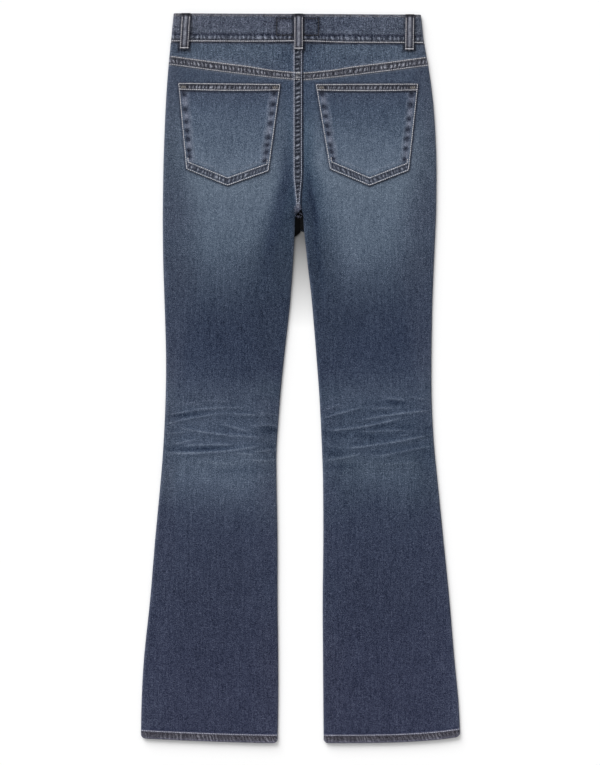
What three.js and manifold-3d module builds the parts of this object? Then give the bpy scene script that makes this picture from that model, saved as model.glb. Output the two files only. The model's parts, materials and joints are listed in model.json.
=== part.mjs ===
// Bootcut jeans laid flat on their front, the back side up. Millimetres, +Z up.
// X runs across the garment with the wearer's left at -X, Y runs from the hems to the waist, and the
// origin is under the middle of the garment, on the surface that it lies on.
// Each leg is a flattened tube. At every station up the leg, the back panel runs from the outseam on
// the underside, round the outer fold, over the top and round the inner fold to the inseam, and the
// front panel closes the tube flat on the surface.
import Module from "manifold-3d";
import * as THREE from "three";

const wasm = await Module();
wasm.setup();

// ---- driving sizes -------------------------------------------------------------------------------
const LENGTH = 1095; // from the hems to the top of the waistband at the back
const CLOTH = 1.3; // one layer of denim
const SEAM_GAP = 0.3; // between two pieces that are sewn together
const HEM = { depth: 10.5, thick: 2.3 }; // the turned-up hem
const BAND = { height: 43.5, thick: 2 }; // the waistband, two layers and a stiffener
const FELL = { width: 12, raise: 0.7 }; // a flat-felled seam stands up as a band
const WRAP = { outer: 12, inner: 9 }; // how far the back panel wraps under the outer and inner folds
const FOLD_RADIUS = 5; // half the width of the rounded edge of a fold
const CROTCH = { top: 802, floor: 788, front: 760, web: 757, seam: 745, settled: 640 };
const INSEAM_STATIONS = [600, CROTCH.settled, 658, 676, 694, 712, 728, CROTCH.seam, CROTCH.web];
const SEAT_SEAM = 2.5; // the back panels meet this far to the right of the middle
const FLY = { edge: 3, bottom: 890 }; // the left front laps over the right one by this much
const COLOURS = { denim: 0x46536d, wornDenim: 0x56647a, thread: 0x9a9184, metal: 0x8c8478 };

// How far the outer and inner folds of each leg lie from the middle, by height above the hem.
const LEFT_LEG = [
  { up: 0, outer: 240, inner: 34.5 },
  { up: 58, outer: 239, inner: 33.5 },
  { up: 125, outer: 235.5, inner: 33.5 },
  { up: 215, outer: 226, inner: 34.5 },
  { up: 305, outer: 218.5, inner: 34.5 },
  { up: 395, outer: 210, inner: 36 },
  { up: 440, outer: 206.5, inner: 36 },
  { up: 485, outer: 204, inner: 33 },
  { up: 530, outer: 202.5, inner: 29.5 },
  { up: 575, outer: 202, inner: 25 },
  { up: 620, outer: 203, inner: 20 },
  { up: 665, outer: 204.5, inner: 15 },
  { up: 728, outer: 206.5, inner: 10.8 },
  { up: 797, outer: 207, inner: 8.2 },
  { up: 868, outer: 206, inner: 12 },
  { up: 913, outer: 204.5, inner: 12 },
  { up: 958, outer: 202.5, inner: 12 },
  { up: 1003, outer: 199.5, inner: 12 },
  { up: 1052, outer: 195, inner: 12 },
  { up: 1095, outer: 190.5, inner: 12 },
];
const RIGHT_LEG = [
  { up: 0, outer: 240, inner: 34.5 },
  { up: 58, outer: 237.5, inner: 34 },
  { up: 125, outer: 231, inner: 33.5 },
  { up: 215, outer: 223.5, inner: 33 },
  { up: 305, outer: 214.5, inner: 34 },
  { up: 395, outer: 205.5, inner: 33.5 },
  { up: 440, outer: 201, inner: 32 },
  { up: 485, outer: 198, inner: 30 },
  { up: 530, outer: 196.5, inner: 27.5 },
  { up: 575, outer: 196.5, inner: 24 },
  { up: 620, outer: 197, inner: 20.5 },
  { up: 665, outer: 198, inner: 16.5 },
  { up: 728, outer: 200.5, inner: 9.5 },
  { up: 797, outer: 203.5, inner: 4 },
  { up: 868, outer: 204, inner: 12 },
  { up: 913, outer: 202.5, inner: 12 },
  { up: 958, outer: 199.5, inner: 12 },
  { up: 1003, outer: 194, inner: 12 },
  { up: 1052, outer: 185.5, inner: 12 },
  { up: 1095, outer: 180.5, inner: 12 },
];
// Height of the top surface by the folds, and how much higher it is between them.
const LOFT = [
  { up: 0, fold: 5.1, crown: 0.1 },
  { up: 14, fold: 4.7, crown: 0.5 },
  { up: 200, fold: 4.9, crown: 1 },
  { up: 420, fold: 5.1, crown: 1.1 },
  { up: 640, fold: 5.2, crown: 1 },
  { up: 800, fold: 5.5, crown: 0.8 },
  { up: 950, fold: 5.9, crown: 0.4 },
  { up: 1095, fold: 6.1, crown: 0.3 },
];
// Soft ridges across the backs of the knees: their ends, how far the middle bows up, and their size.
const KNEE_CREASES = [
  { x0: -200, up0: 493, x1: -115, up1: 503, bow: 1, rise: 0.6, half: 4 },
  { x0: -188, up0: 481, x1: -54, up1: 492, bow: 7, rise: 0.8, half: 4 },
  { x0: -188, up0: 474, x1: -57, up1: 458, bow: -4, rise: 0.8, half: 4 },
  { x0: -115, up0: 476, x1: -83, up1: 468, bow: 0, rise: 0.5, half: 3 },
  { x0: -66, up0: 477, x1: -37, up1: 475, bow: 0, rise: 0.6, half: 3 },
  { x0: -185, up0: 449, x1: -120, up1: 448, bow: 2, rise: 0.5, half: 3 },
  { x0: -205, up0: 435, x1: -60, up1: 447, bow: -5, rise: 0.8, half: 4 },
  { x0: -74, up0: 425, x1: -38, up1: 421, bow: 0, rise: 0.5, half: 4 },
  { x0: 31, up0: 501, x1: 61, up1: 509, bow: 0, rise: 0.5, half: 3 },
  { x0: 34, up0: 487, x1: 139, up1: 503, bow: 6, rise: 0.8, half: 4 },
  { x0: 88, up0: 515, x1: 194, up1: 509, bow: 5, rise: 0.5, half: 4 },
  { x0: 67, up0: 471, x1: 196, up1: 498, bow: -3, rise: 0.8, half: 4 },
  { x0: 75, up0: 466, x1: 161, up1: 469, bow: 0, rise: 0.5, half: 3 },
  { x0: 66, up0: 444, x1: 193, up1: 461, bow: -4, rise: 0.8, half: 4 },
  { x0: 35, up0: 424, x1: 70, up1: 430, bow: 0, rise: 0.6, half: 4 },
  { x0: 124, up0: 428, x1: 197, up1: 446, bow: -1, rise: 0.6, half: 4 },
];
// Soft troughs that run down from the seat beside the crotch, told the same way with x and up swapped.
const CROTCH_TROUGHS = [
  { up0: 700, x0: 36, up1: 845, x1: 14, bow: 3, rise: -0.8, half: 6 },
  { up0: 720, x0: -62, up1: 835, x1: -22, bow: -4, rise: -0.6, half: 9 },
];
const HEM_RISE = { left: { rise: 6.5, power: 1.6 }, right: { rise: 8, power: 3.6 } };
// Corners of the two patch pockets, from the middle and up from the hem.
const BACK_POCKETS = {
  left: { topOuter: [-183.5, 990], topInner: [-30, 989], lowInner: [-48, 858], point: [-111, 836], lowOuter: [-171.5, 861] },
  right: { topOuter: [176.5, 989], topInner: [22.5, 989], lowInner: [44, 861], point: [103.5, 836], lowOuter: [162.5, 859] },
};
const POCKET_HEM = { depth: 10.5, raise: 0.6 };
const LOOP = { width: 13.3, thick: 1.5, length: 54, stand: 1.3 };
const BACK_LOOPS = { left: [-171.7, -174.7], centre: [-3, -3], right: [163.7, 163.2] }; // x at the top and bottom
const FRONT_LOOPS = { left: -100, right: 100 };
const FRONT_DIP = 26; // how far the waist seam drops at the middle of the front
const BUTTON = { x: 8, radius: 8.5, thick: 1.2 };
const LAP = { overEnd: 22, underEnd: -14, rampStart: 25, rampEnd: 60 }; // where the band's two ends lie
const SCOOP = { low: 968, inner: 92 }; // the front pocket's curved mouth, from the outseam to the waist
const FACING = { low: 940, past: 24 };
const ZIP = { width: 26, tape: 0.7, chainWidth: 5, chain: 1.4, bottom: 905, top: 1012 };

// ---- small helpers -------------------------------------------------------------------------------
const lerp = THREE.MathUtils.lerp;
const ease = (value, from, to) => THREE.MathUtils.smoothstep(value, from, to);

// A smooth curve through one column of a table, read by its up column.
function column(rows, name) {
  const slope = (a, b) => (rows[b][name] - rows[a][name]) / (rows[b].up - rows[a].up);
  const last = rows.length - 1;
  return (up) => {
    if (up <= rows[0].up) return rows[0][name];
    if (up >= rows[last].up) return rows[last][name];
    const i = rows.findIndex((row) => row.up > up) - 1;
    const span = rows[i + 1].up - rows[i].up;
    const t = (up - rows[i].up) / span;
    const before = slope(Math.max(i - 1, 0), i + 1) * span;
    const after = slope(i, Math.min(i + 2, last)) * span;
    const a = rows[i][name];
    const b = rows[i + 1][name];
    return (
      a * (2 * t ** 3 - 3 * t ** 2 + 1) +
      before * (t ** 3 - 2 * t ** 2 + t) +
      b * (3 * t ** 2 - 2 * t ** 3) +
      after * (t ** 3 - t ** 2)
    );
  };
}

const spread = (from, to, steps) => Array.from({ length: steps + 1 }, (_, i) => lerp(from, to, i / steps));
const point = (x, up, z) => new THREE.Vector3(x, up - LENGTH / 2, z);

// A closed wall from a grid of outer points and the matching grid of inner points.
function wall(outer, inner) {
  const rows = outer.length;
  const columns = outer[0].length;
  const size = rows * columns;
  const positions = [...outer.flat(), ...inner.flat()].flatMap((p) => [p.x, p.y, p.z]);
  const index = [];
  const quad = (a, b, c, d) => index.push(a, b, c, a, c, d);
  const at = (row, col) => row * columns + col;
  for (let r = 0; r < rows - 1; r++) {
    for (let c = 0; c < columns - 1; c++) {
      quad(at(r, c), at(r, c + 1), at(r + 1, c + 1), at(r + 1, c));
      quad(size + at(r, c), size + at(r + 1, c), size + at(r + 1, c + 1), size + at(r, c + 1));
    }
    quad(at(r, 0), at(r + 1, 0), size + at(r + 1, 0), size + at(r, 0));
    quad(at(r + 1, columns - 1), at(r, columns - 1), size + at(r, columns - 1), size + at(r + 1, columns - 1));
  }
  for (let c = 0; c < columns - 1; c++) {
    quad(at(0, c + 1), at(0, c), size + at(0, c), size + at(0, c + 1));
    quad(at(rows - 1, c), at(rows - 1, c + 1), size + at(rows - 1, c + 1), size + at(rows - 1, c));
  }
  return facingOut(positions, index);
}

// The geometry of a closed surface, turned round if its faces point inwards.
function facingOut(positions, index) {
  let volume = 0;
  const corner = (i) => new THREE.Vector3().fromArray(positions, 3 * i);
  for (let i = 0; i < index.length; i += 3) {
    volume += corner(index[i]).dot(corner(index[i + 1]).cross(corner(index[i + 2])));
  }
  if (volume < 0) index.reverse();
  const geometry = new THREE.BufferGeometry();
  geometry.setAttribute("position", new THREE.Float32BufferAttribute(positions, 3));
  geometry.setIndex(index);
  geometry.computeVertexNormals();
  return geometry;
}

// The same surface as a manifold solid, and back again.
function asSolid(geometry) {
  const source = geometry.attributes.position;
  const keys = new Map();
  const vertices = [];
  const merged = Array.from({ length: source.count }, (_, i) => {
    const corner = new THREE.Vector3().fromBufferAttribute(source, i).toArray();
    const key = corner.map((v) => v.toFixed(3).replace("-0.000", "0.000")).join();
    if (!keys.has(key)) {
      keys.set(key, keys.size);
      vertices.push(...corner);
    }
    return keys.get(key);
  });
  const triangles = [];
  for (let i = 0; i < geometry.index.count; i += 3) {
    const corners = [0, 1, 2].map((k) => merged[geometry.index.getX(i + k)]);
    if (new Set(corners).size === 3) triangles.push(...corners);
  }
  const mesh = new wasm.Mesh({
    numProp: 3,
    vertProperties: new Float32Array(vertices),
    triVerts: new Uint32Array(triangles),
  });
  return new wasm.Manifold(mesh);
}

function asGeometry(solid) {
  const mesh = solid.getMesh();
  const geometry = new THREE.BufferGeometry();
  geometry.setAttribute("position", new THREE.BufferAttribute(new Float32Array(mesh.vertProperties), 3));
  geometry.setIndex(new THREE.BufferAttribute(new Uint32Array(mesh.triVerts), 1));
  geometry.computeVertexNormals();
  return geometry;
}

// ---- the shape of the cloth ----------------------------------------------------------------------
const foldHeight = column(LOFT, "fold");
const crownHeight = column(LOFT, "crown");
const LEGS = {
  left: { side: -1, outer: column(LEFT_LEG, "outer"), inner: column(LEFT_LEG, "inner"), hem: HEM_RISE.left },
  right: { side: 1, outer: column(RIGHT_LEG, "outer"), inner: column(RIGHT_LEG, "inner"), hem: HEM_RISE.right },
};
const clothThickness = (up) => (up < HEM.depth ? HEM.thick : CLOTH);

// A soft ridge or trough of one crease, where along runs between its ends and across is square to it.
function creaseHeight(along, across, from, to, start, end, crease) {
  const t = (along - from) / (to - from);
  if (t <= 0 || t >= 1) return 0;
  const line = lerp(start, end, t) + crease.bow * 4 * t * (1 - t);
  return crease.rise * Math.exp(-(((across - line) / crease.half) ** 2)) * Math.sqrt(Math.sin(Math.PI * t));
}

function creases(x, up) {
  const knees = KNEE_CREASES.map((c) => creaseHeight(x, up, c.x0, c.x1, c.up0, c.up1, c));
  const troughs = CROTCH_TROUGHS.map((c) => creaseHeight(up, x, c.up0, c.up1, c.x0, c.x1, c));
  return [...knees, ...troughs].reduce((sum, height) => sum + height, 0);
}

// Height of the back's plain surface, without creases and seams, at a distance m from the middle.
function plainTop(leg, m, up) {
  const fromOuter = ease(leg.outer(up) - m, FOLD_RADIUS, 45);
  const fromInner = ease(m - leg.inner(up), FOLD_RADIUS, 35);
  const joined = ease(up, CROTCH.front, CROTCH.top + 30); // above the crotch there is no inner fold
  return foldHeight(up) + crownHeight(up) * fromOuter * lerp(fromInner, 1, joined);
}

const backTop = (leg, m, up) => plainTop(leg, m, up) + creases(leg.side * m, up);

// The section round a leg's inner fold. The distance runs along the outer face from where the top
// ends, round the fold, and back along the underside.
function innerFold(leg, up) {
  const start = leg.inner(up) + FOLD_RADIUS;
  const half = foldHeight(up) / 2;
  const thick = clothThickness(up);
  const arc = Math.PI * Math.sqrt((FOLD_RADIUS ** 2 + half ** 2) / 2);
  const pointAt = (distance) => {
    if (distance > arc) {
      const m = start + distance - arc;
      return { m, z: 0, mIn: m, zIn: thick };
    }
    const angle = Math.PI / 2 - (Math.PI * distance) / arc;
    return {
      m: start - FOLD_RADIUS * Math.cos(angle),
      z: half + half * Math.sin(angle),
      mIn: start - (FOLD_RADIUS - thick) * Math.cos(angle),
      zIn: half + (half - thick) * Math.sin(angle),
    };
  };
  return { arc, pointAt };
}

// How far round the inner fold the inseam lies: low on the fold at the crotch, underneath further down.
function inseam(leg, up) {
  const { arc } = innerFold(leg, up);
  const atCrotch = arc * 0.63;
  return lerp(arc + WRAP.inner, atCrotch, ease(up, CROTCH.settled, CROTCH.seam));
}

// The last points of a back panel's section when it reaches the seat seam. The left panel carries the
// felled band.
function seatEdge(leg, up) {
  const start = leg.inner(up) + FOLD_RADIUS;
  const narrow = ease(up, CROTCH.top + 55, CROTCH.top); // the band narrows as it dives into the crotch
  const seam = lerp(SEAT_SEAM, SEAT_SEAM - 1.5, narrow);
  const band = lerp(FELL.width, FELL.width - 4.5, narrow);
  const end = leg.side * seam + SEAM_GAP / 2;
  const marks =
    leg.side < 0
      ? [
          { m: band - seam + 1.2, raise: 0 },
          { m: band - seam, raise: FELL.raise },
          { m: band / 2 - seam, raise: FELL.raise },
          { m: end, raise: FELL.raise },
        ]
      : [0.4, 0.65, 0.85, 1].map((share) => ({ m: lerp(start, end, share), raise: 0 }));
  return marks.map(({ m, raise }) => ({ m, z: plainTop(leg, Math.max(m, 0), up), raise }));
}

// The points between the top of a back panel and its inner edge. They are curled round the inner fold
// where the legs are apart, and flat at the seat seam.
function innerEdge(leg, up, before) {
  const thick = clothThickness(up);
  const fold = innerFold(leg, up);
  const end = inseam(leg, up);
  const round = [0.27, 0.5, 0.73, 1].map((share) => fold.pointAt(share * end));
  const open = ease(up, CROTCH.floor, CROTCH.top);
  if (open === 0) return round;
  const seat = seatEdge(leg, up);
  const line = round.map((p, i) => ({ m: lerp(p.m, seat[i].m, open), z: lerp(p.z, seat[i].z, open) }));
  return line.map(({ m, z }, i) => {
    const from = i > 0 ? line[i - 1] : before;
    const to = line[i + 1] ?? line[i];
    const run = Math.hypot(to.m - from.m, to.z - from.z);
    const inward = { m: (from.z - to.z) / run, z: (to.m - from.m) / run }; // square to the cloth
    const raise = seat[i].raise * open;
    return { m: m - inward.m * raise, z: z - inward.z * raise, mIn: m + inward.m * thick, zIn: z + inward.z * thick };
  });
}

const TOP_STEPS = 9;
const FOLD_STEPS = 4;

// One section of a back panel, from the outseam underneath to the inseam or the seat seam.
function backSection(leg, up) {
  const thick = clothThickness(up);
  const half = foldHeight(up) / 2;
  const centre = leg.outer(up) - FOLD_RADIUS;
  const start = leg.outer(up) - WRAP.outer;
  const section = [{ m: start, z: 0, mIn: start, zIn: thick }];
  for (const angle of spread(-Math.PI / 2, Math.PI / 2, FOLD_STEPS)) {
    section.push({
      m: centre + FOLD_RADIUS * Math.cos(angle),
      z: half + half * Math.sin(angle),
      mIn: centre + (FOLD_RADIUS - thick) * Math.cos(angle),
      zIn: half + (half - thick) * Math.sin(angle),
    });
  }
  const topEnd = leg.inner(up) + FOLD_RADIUS;
  for (const m of spread(centre, topEnd, TOP_STEPS).slice(1)) {
    section.push({ m, z: backTop(leg, m, up), mIn: m, zIn: backTop(leg, m, up) - thick });
  }
  return [...section, ...innerEdge(leg, up, section.at(-1))];
}

// ---- the seam lines ------------------------------------------------------------------------------
const legAt = (x) => (x < 0 ? LEGS.left : LEGS.right);
const topEdge = (x) => LENGTH - 1 - x / 190; // the waistband's upper edge at the back
const waistSeam = (x) => topEdge(x) - BAND.height;
const frontWaistSeam = (x) => {
  const share = Math.min(Math.abs(x) / (legAt(x).outer(1052) - WRAP.outer - 1), 1);
  return waistSeam(x) - FRONT_DIP * (1 - share ** 2) ** 1.5;
};
const YOKE_LINE = { middle: 1000.5, side: 1023.5, halfWidth: 195 };
const yokeLine = (x) => {
  const share = Math.min(Math.abs(x - SEAT_SEAM) / YOKE_LINE.halfWidth, 1);
  return lerp(YOKE_LINE.middle, YOKE_LINE.side, share ** 1.2);
};
const yokeLow = (x) => yokeLine(x) - FELL.width / 2;

// The hem lifts towards the outer fold, and the corners are a little round.
function hemLift(leg, m, up) {
  const share = THREE.MathUtils.clamp((m - leg.inner(0)) / (leg.outer(0) - leg.inner(0)), 0, 1);
  const corner = Math.max(0, 1 - (leg.outer(0) - m) / FOLD_RADIUS) + Math.max(0, 1 - (m - leg.inner(0)) / FOLD_RADIUS);
  return (leg.hem.rise * share ** leg.hem.power + 2 * corner ** 2) * (1 - ease(up, 0, 140));
}

// ---- the panels ----------------------------------------------------------------------------------
const BACK_TOP = 1010; // the back panel's stations end here, and are then bent to the yoke seam
const BEND = 110; // over this length below
const HEM_STATIONS = [0, HEM.depth - 0.4, HEM.depth + 0.6];

// A section's point moved to another height, keeping to the outer fold.
function follow(leg, m, from, to) {
  return m + (leg.outer(to) - leg.outer(from)) * ease(m, 40, leg.outer(from) - WRAP.outer);
}

// A grid of points from sections at the given stations, each bent to the hem and to the top line.
function panelGrids(leg, stations, sectionAt, top, topLine) {
  const outer = [];
  const inner = [];
  for (const up of stations) {
    const hemRaise = up < HEM.depth ? 0.4 : 0;
    for (const row of [outer, inner]) row.push([]);
    const heightAt = (m) => {
      const bend = (topLine(leg.side * m) - top) * ease(up, top - BEND, top);
      return up + hemLift(leg, m, up) + bend;
    };
    for (const p of sectionAt(leg, up)) {
      const guess = heightAt(p.m);
      const m = follow(leg, p.m, up, guess);
      const height = heightAt(m);
      outer.at(-1).push(point(leg.side * m, height, p.z > CLOTH + 1 ? p.z + hemRaise : p.z));
      inner.at(-1).push(point(leg.side * follow(leg, p.mIn, up, guess), height, p.zIn));
    }
  }
  return [outer, inner];
}

function backPanel(leg) {
  const stations = [
    ...HEM_STATIONS,
    ...spread(28, 400, 11),
    ...spread(412, 522, 20),
    548,
    574,
    ...INSEAM_STATIONS,
    CROTCH.front + 10,
    ...spread(CROTCH.floor, CROTCH.top, 4),
    CROTCH.top + 15,
    ...spread(850, BACK_TOP, 6),
  ];
  return wall(...panelGrids(leg, stations, backSection, BACK_TOP, (x) => yokeLow(x) - SEAM_GAP));
}

// How far out the front panel reaches: to the outseam, or to the curved mouth of the front pocket.
function frontOuterEdge(leg, up) {
  const outseam = leg.outer(up) - WRAP.outer - SEAM_GAP;
  if (up <= SCOOP.low) return outseam;
  const t = Math.min((up - SCOOP.low) / (FRONT_TOP - SCOOP.low), 1);
  return SCOOP.inner + (outseam - SCOOP.inner) * (1 - Math.sin((Math.PI / 2) * t)) ** 0.8;
}

const FRONT_TOP = 1040;

// One section of a front panel, from the outseam to the inseam or to the middle of the front.
function frontSection(leg, up) {
  const thick = clothThickness(up);
  const flat = (m) => ({ m, z: 0, mIn: m, zIn: thick });
  const outer = frontOuterEdge(leg, up);
  const tail = 6;
  if (up >= CROTCH.front) {
    const edge = up > FLY.bottom ? FLY.edge : 0;
    const end = -leg.side * edge + SEAM_GAP / 2;
    const tailStart = leg.inner(up) + FOLD_RADIUS + tail;
    return [...spread(outer, tailStart, 6), ...spread(tailStart, end, 3).slice(1)].map(flat);
  }
  const fold = innerFold(leg, up);
  const end = inseam(leg, up) + SEAM_GAP + ease(up, 728, CROTCH.web);
  const start = Math.max(fold.arc, end) + tail;
  const tailPoints = spread(start, end, 3).map(fold.pointAt);
  return [...spread(outer, tailPoints[0].m, 6).slice(0, -1).map(flat), ...tailPoints];
}

function frontPanel(leg) {
  const stations = [
    ...HEM_STATIONS,
    ...spread(40, 560, 13),
    ...INSEAM_STATIONS,
    CROTCH.front,
    800,
    FLY.bottom - 6,
    FLY.bottom + 1,
    ...spread(SCOOP.low - 30, SCOOP.low, 1),
    ...spread(SCOOP.low + 6, FRONT_TOP, 8),
  ];
  return wall(...panelGrids(leg, stations, frontSection, FRONT_TOP, (x) => frontWaistSeam(x) - SEAM_GAP));
}

function yoke(leg) {
  const from = 1035;
  const outer = [];
  const inner = [];
  const section = backSection(leg, from);
  const addRow = (lineOn, raise) => {
    for (const row of [outer, inner]) row.push([]);
    for (const p of section) {
      const line = lineOn(p.z < foldHeight(from) / 2);
      const guess = line(leg.side * p.m);
      const m = follow(leg, p.m, from, guess);
      const height = line(leg.side * m);
      outer.at(-1).push(point(leg.side * m, height, p.z > CLOTH + 1 ? p.z + raise : p.z));
      inner.at(-1).push(point(leg.side * follow(leg, p.mIn, from, guess), height, p.zIn));
    }
  };
  addRow(() => yokeLow, FELL.raise);
  addRow(() => (x) => yokeLow(x) + FELL.width, FELL.raise);
  for (const share of [0, 0.3, 0.65, 1]) {
    addRow((under) => (x) => {
      const top = (under ? frontWaistSeam(x) : waistSeam(x)) - SEAM_GAP;
      return lerp(yokeLow(x) + FELL.width + 1.2, top, share);
    }, 0);
  }
  return wall(outer, inner);
}

// ---- the waistband, in one strip from its right end, round the back, to its left end ---------------
const bandRise = (x) => {
  const hump = 0.6 * (1 - ease(Math.abs(x - 5), 32, 80)); // over the lapped ends
  return foldHeight(1080) + 0.4 + hump;
};
// How far the front part is lifted off the surface by the belt loops under it.
const frontLift = (x) => {
  const overLoops = Object.values(FRONT_LOOPS).map((at) => 1 - ease(Math.abs(x - at), LOOP.width / 2 + 1, 26));
  return Math.max(...overLoops) * (LOOP.thick + SEAM_GAP);
};

function bandPath() {
  const path = [];
  const left = LEGS.left.outer(1073) - FOLD_RADIUS;
  const right = LEGS.right.outer(1073) - FOLD_RADIUS;
  const underLap = BAND.thick + SEAM_GAP;
  const frontPoint = (x, lift) => path.push({ x, z: lift, xIn: x, zIn: lift + BAND.thick, front: true });
  for (const x of [...spread(LAP.underEnd, LAP.rampStart, 2), ...spread(LAP.rampStart, LAP.rampEnd, 4).slice(1)]) {
    frontPoint(x, underLap * (1 - ease(x, LAP.rampStart, LAP.rampEnd)));
  }
  const loopEdges = [LOOP.width / 2 + 1, 17, 27];
  const aroundLoop = (at) => [...loopEdges.map((d) => at - d).reverse(), ...loopEdges.map((d) => at + d)];
  for (const x of [...aroundLoop(FRONT_LOOPS.right), 144, 158, 170, 180, right]) frontPoint(x, frontLift(x));
  const fold = (centre, side, angles) => {
    const half = bandRise(side * 200) / 2;
    for (const angle of angles) {
      path.push({
        x: centre + side * FOLD_RADIUS * Math.cos(angle),
        z: half + half * Math.sin(angle),
        xIn: centre + side * (FOLD_RADIUS - BAND.thick) * Math.cos(angle),
        zIn: half + (half - BAND.thick) * Math.sin(angle),
        front: angle < 0,
      });
    }
  };
  fold(right, 1, spread(-Math.PI / 2, Math.PI / 2, 4).slice(1));
  for (const x of spread(right, -left, 18).slice(1)) {
    path.push({ x, z: bandRise(x), xIn: x, zIn: bandRise(x) - BAND.thick, front: false });
  }
  fold(-left, -1, spread(Math.PI / 2, -Math.PI / 2, 4).slice(1));
  for (const x of [-180, -170, -158, -144, ...aroundLoop(FRONT_LOOPS.left), -50, -22, BUTTON.x, LAP.overEnd]) {
    frontPoint(x, frontLift(x));
  }
  return path;
}

function waistband() {
  const path = bandPath();
  const middle = 1073;
  const rows = (pick) =>
    [0, 0.06, 0.5, 0.94, 1].map((share) =>
      path.map((p) => {
        const low = p.front ? frontWaistSeam(p.x) : waistSeam(p.x);
        const up = low + share * BAND.height;
        const leg = p.x < 0 ? LEGS.left : LEGS.right;
        const slant = (leg.outer(up) - leg.outer(middle)) * ease(Math.abs(p.x), 90, 170) * leg.side;
        const rounded = share === 0 || share === 1 ? 0.35 : 0;
        const z = pick === "outer" ? p.z : p.zIn;
        const towardsMiddle = Math.sign((p.z + p.zIn) / 2 - z) * rounded;
        return point((pick === "outer" ? p.x : p.xIn) + slant, up, z + towardsMiddle);
      }),
    );
  const strip = asSolid(wall(rows("outer"), rows("inner")));
  const recess = asSolid(disc(BUTTON.radius + SEAM_GAP, BUTTON.thick + SEAM_GAP, -1));
  return asGeometry(strip.subtract(recess));
}

// ---- what is sewn on -----------------------------------------------------------------------------
// A patch pocket, whose face is made from the back panel's surface, moved out.
function backPocket(leg, corners) {
  const steps = 12;
  const outer = [];
  const inner = [];
  const hemShare = POCKET_HEM.depth / (corners.topOuter[1] - corners.lowOuter[1]);
  const downShares = [0, hemShare, hemShare + 0.008, ...spread(hemShare + 0.008, 1, 10).slice(1)];
  for (const down of downShares) {
    const rowOuter = [];
    const rowInner = [];
    for (const across of spread(0, 1, steps)) {
      const x = lerp(
        lerp(corners.topOuter[0], corners.lowOuter[0], down),
        lerp(corners.topInner[0], corners.lowInner[0], down),
        across,
      );
      const foot =
        across < 0.5
          ? lerp(corners.lowOuter[1], corners.point[1], across * 2)
          : lerp(corners.point[1], corners.lowInner[1], across * 2 - 1);
      const up = lerp(lerp(corners.topOuter[1], corners.topInner[1], across), foot, down);
      const under = backTop(leg, Math.abs(x), up) + SEAM_GAP;
      const raise = down <= hemShare ? POCKET_HEM.raise : 0;
      rowOuter.push(point(x, up, under + CLOTH + raise));
      rowInner.push(point(x, up, under));
    }
    outer.push(rowOuter);
    inner.push(rowInner);
  }
  return wall(outer, inner);
}

// A belt loop on the back. It lies down at both ends and stands off the band between them.
function backLoop([xTop, xBottom]) {
  const outer = [];
  const inner = [];
  const leg = xTop < 0 ? LEGS.left : LEGS.right;
  for (const share of spread(0, 1, 9)) {
    const centre = lerp(xTop, xBottom, share);
    const up = topEdge(xTop) - share * LOOP.length;
    const onYoke = plainTop(leg, Math.abs(centre), up) + (Math.abs(centre) < 20 ? FELL.raise : 0);
    const onBand = bandRise(centre);
    const under = lerp(onYoke, onBand, ease(up, waistSeam(centre) - 6, waistSeam(centre) - 1)) + SEAM_GAP;
    const stand = LOOP.stand * Math.sin(Math.PI * share) ** 0.7;
    const row = [-1, 0, 1].map((across) => ({ x: centre + (across * LOOP.width) / 2, across }));
    outer.push(row.map(({ x, across }) => point(x, up, under + stand + LOOP.thick + (across ? 0 : 0.3))));
    inner.push(row.map(({ x }) => point(x, up, under + stand)));
  }
  return wall(outer, inner);
}

// A belt loop on the front, pressed flat between the band and the surface.
function frontLoop(x) {
  const low = frontWaistSeam(x) + 1.5;
  const rows = spread(low + BAND.height - 3, low, 3);
  const rowAt = (up, z) => [-1, 0, 1].map((across) => point(x + (across * LOOP.width) / 2, up, z));
  return wall(
    rows.map((up) => rowAt(up, 0)),
    rows.map((up) => rowAt(up, LOOP.thick)),
  );
}

// The plain pocket facing that shows in the curved mouth of a front pocket.
function pocketFacing(leg) {
  const outer = [];
  const inner = [];
  const low = CLOTH + SEAM_GAP;
  for (const up of [FACING.low, SCOOP.low, ...spread(SCOOP.low + 18, FRONT_TOP, 4)]) {
    const outseam = leg.outer(up) - WRAP.outer - SEAM_GAP;
    const edge = Math.max(frontOuterEdge(leg, up) - FACING.past, SCOOP.inner - FACING.past);
    const lift = (m) => up + (frontWaistSeam(leg.side * m) - 1.5 - FRONT_TOP) * ease(up, FRONT_TOP - BEND, FRONT_TOP);
    const row = spread(outseam, edge, 6);
    outer.push(row.map((m) => point(leg.side * m, lift(m), low)));
    inner.push(row.map((m) => point(leg.side * m, lift(m), low + CLOTH)));
  }
  return wall(outer, inner);
}

// A disc where the button lies, from a little below the surface or on it.
function disc(radius, top, bottom) {
  const profile = [
    [0, bottom],
    [radius - 0.8, bottom],
    [radius, bottom + 0.5],
    [radius, top],
    [0, top],
  ].map(([r, z]) => new THREE.Vector2(r, z));
  const geometry = new THREE.LatheGeometry(profile, 24);
  geometry.rotateX(Math.PI / 2); // the lathe's axis becomes +Z
  const up = frontWaistSeam(BUTTON.x) + BAND.height / 2;
  return geometry.translate(BUTTON.x, up - LENGTH / 2, 0);
}

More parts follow.
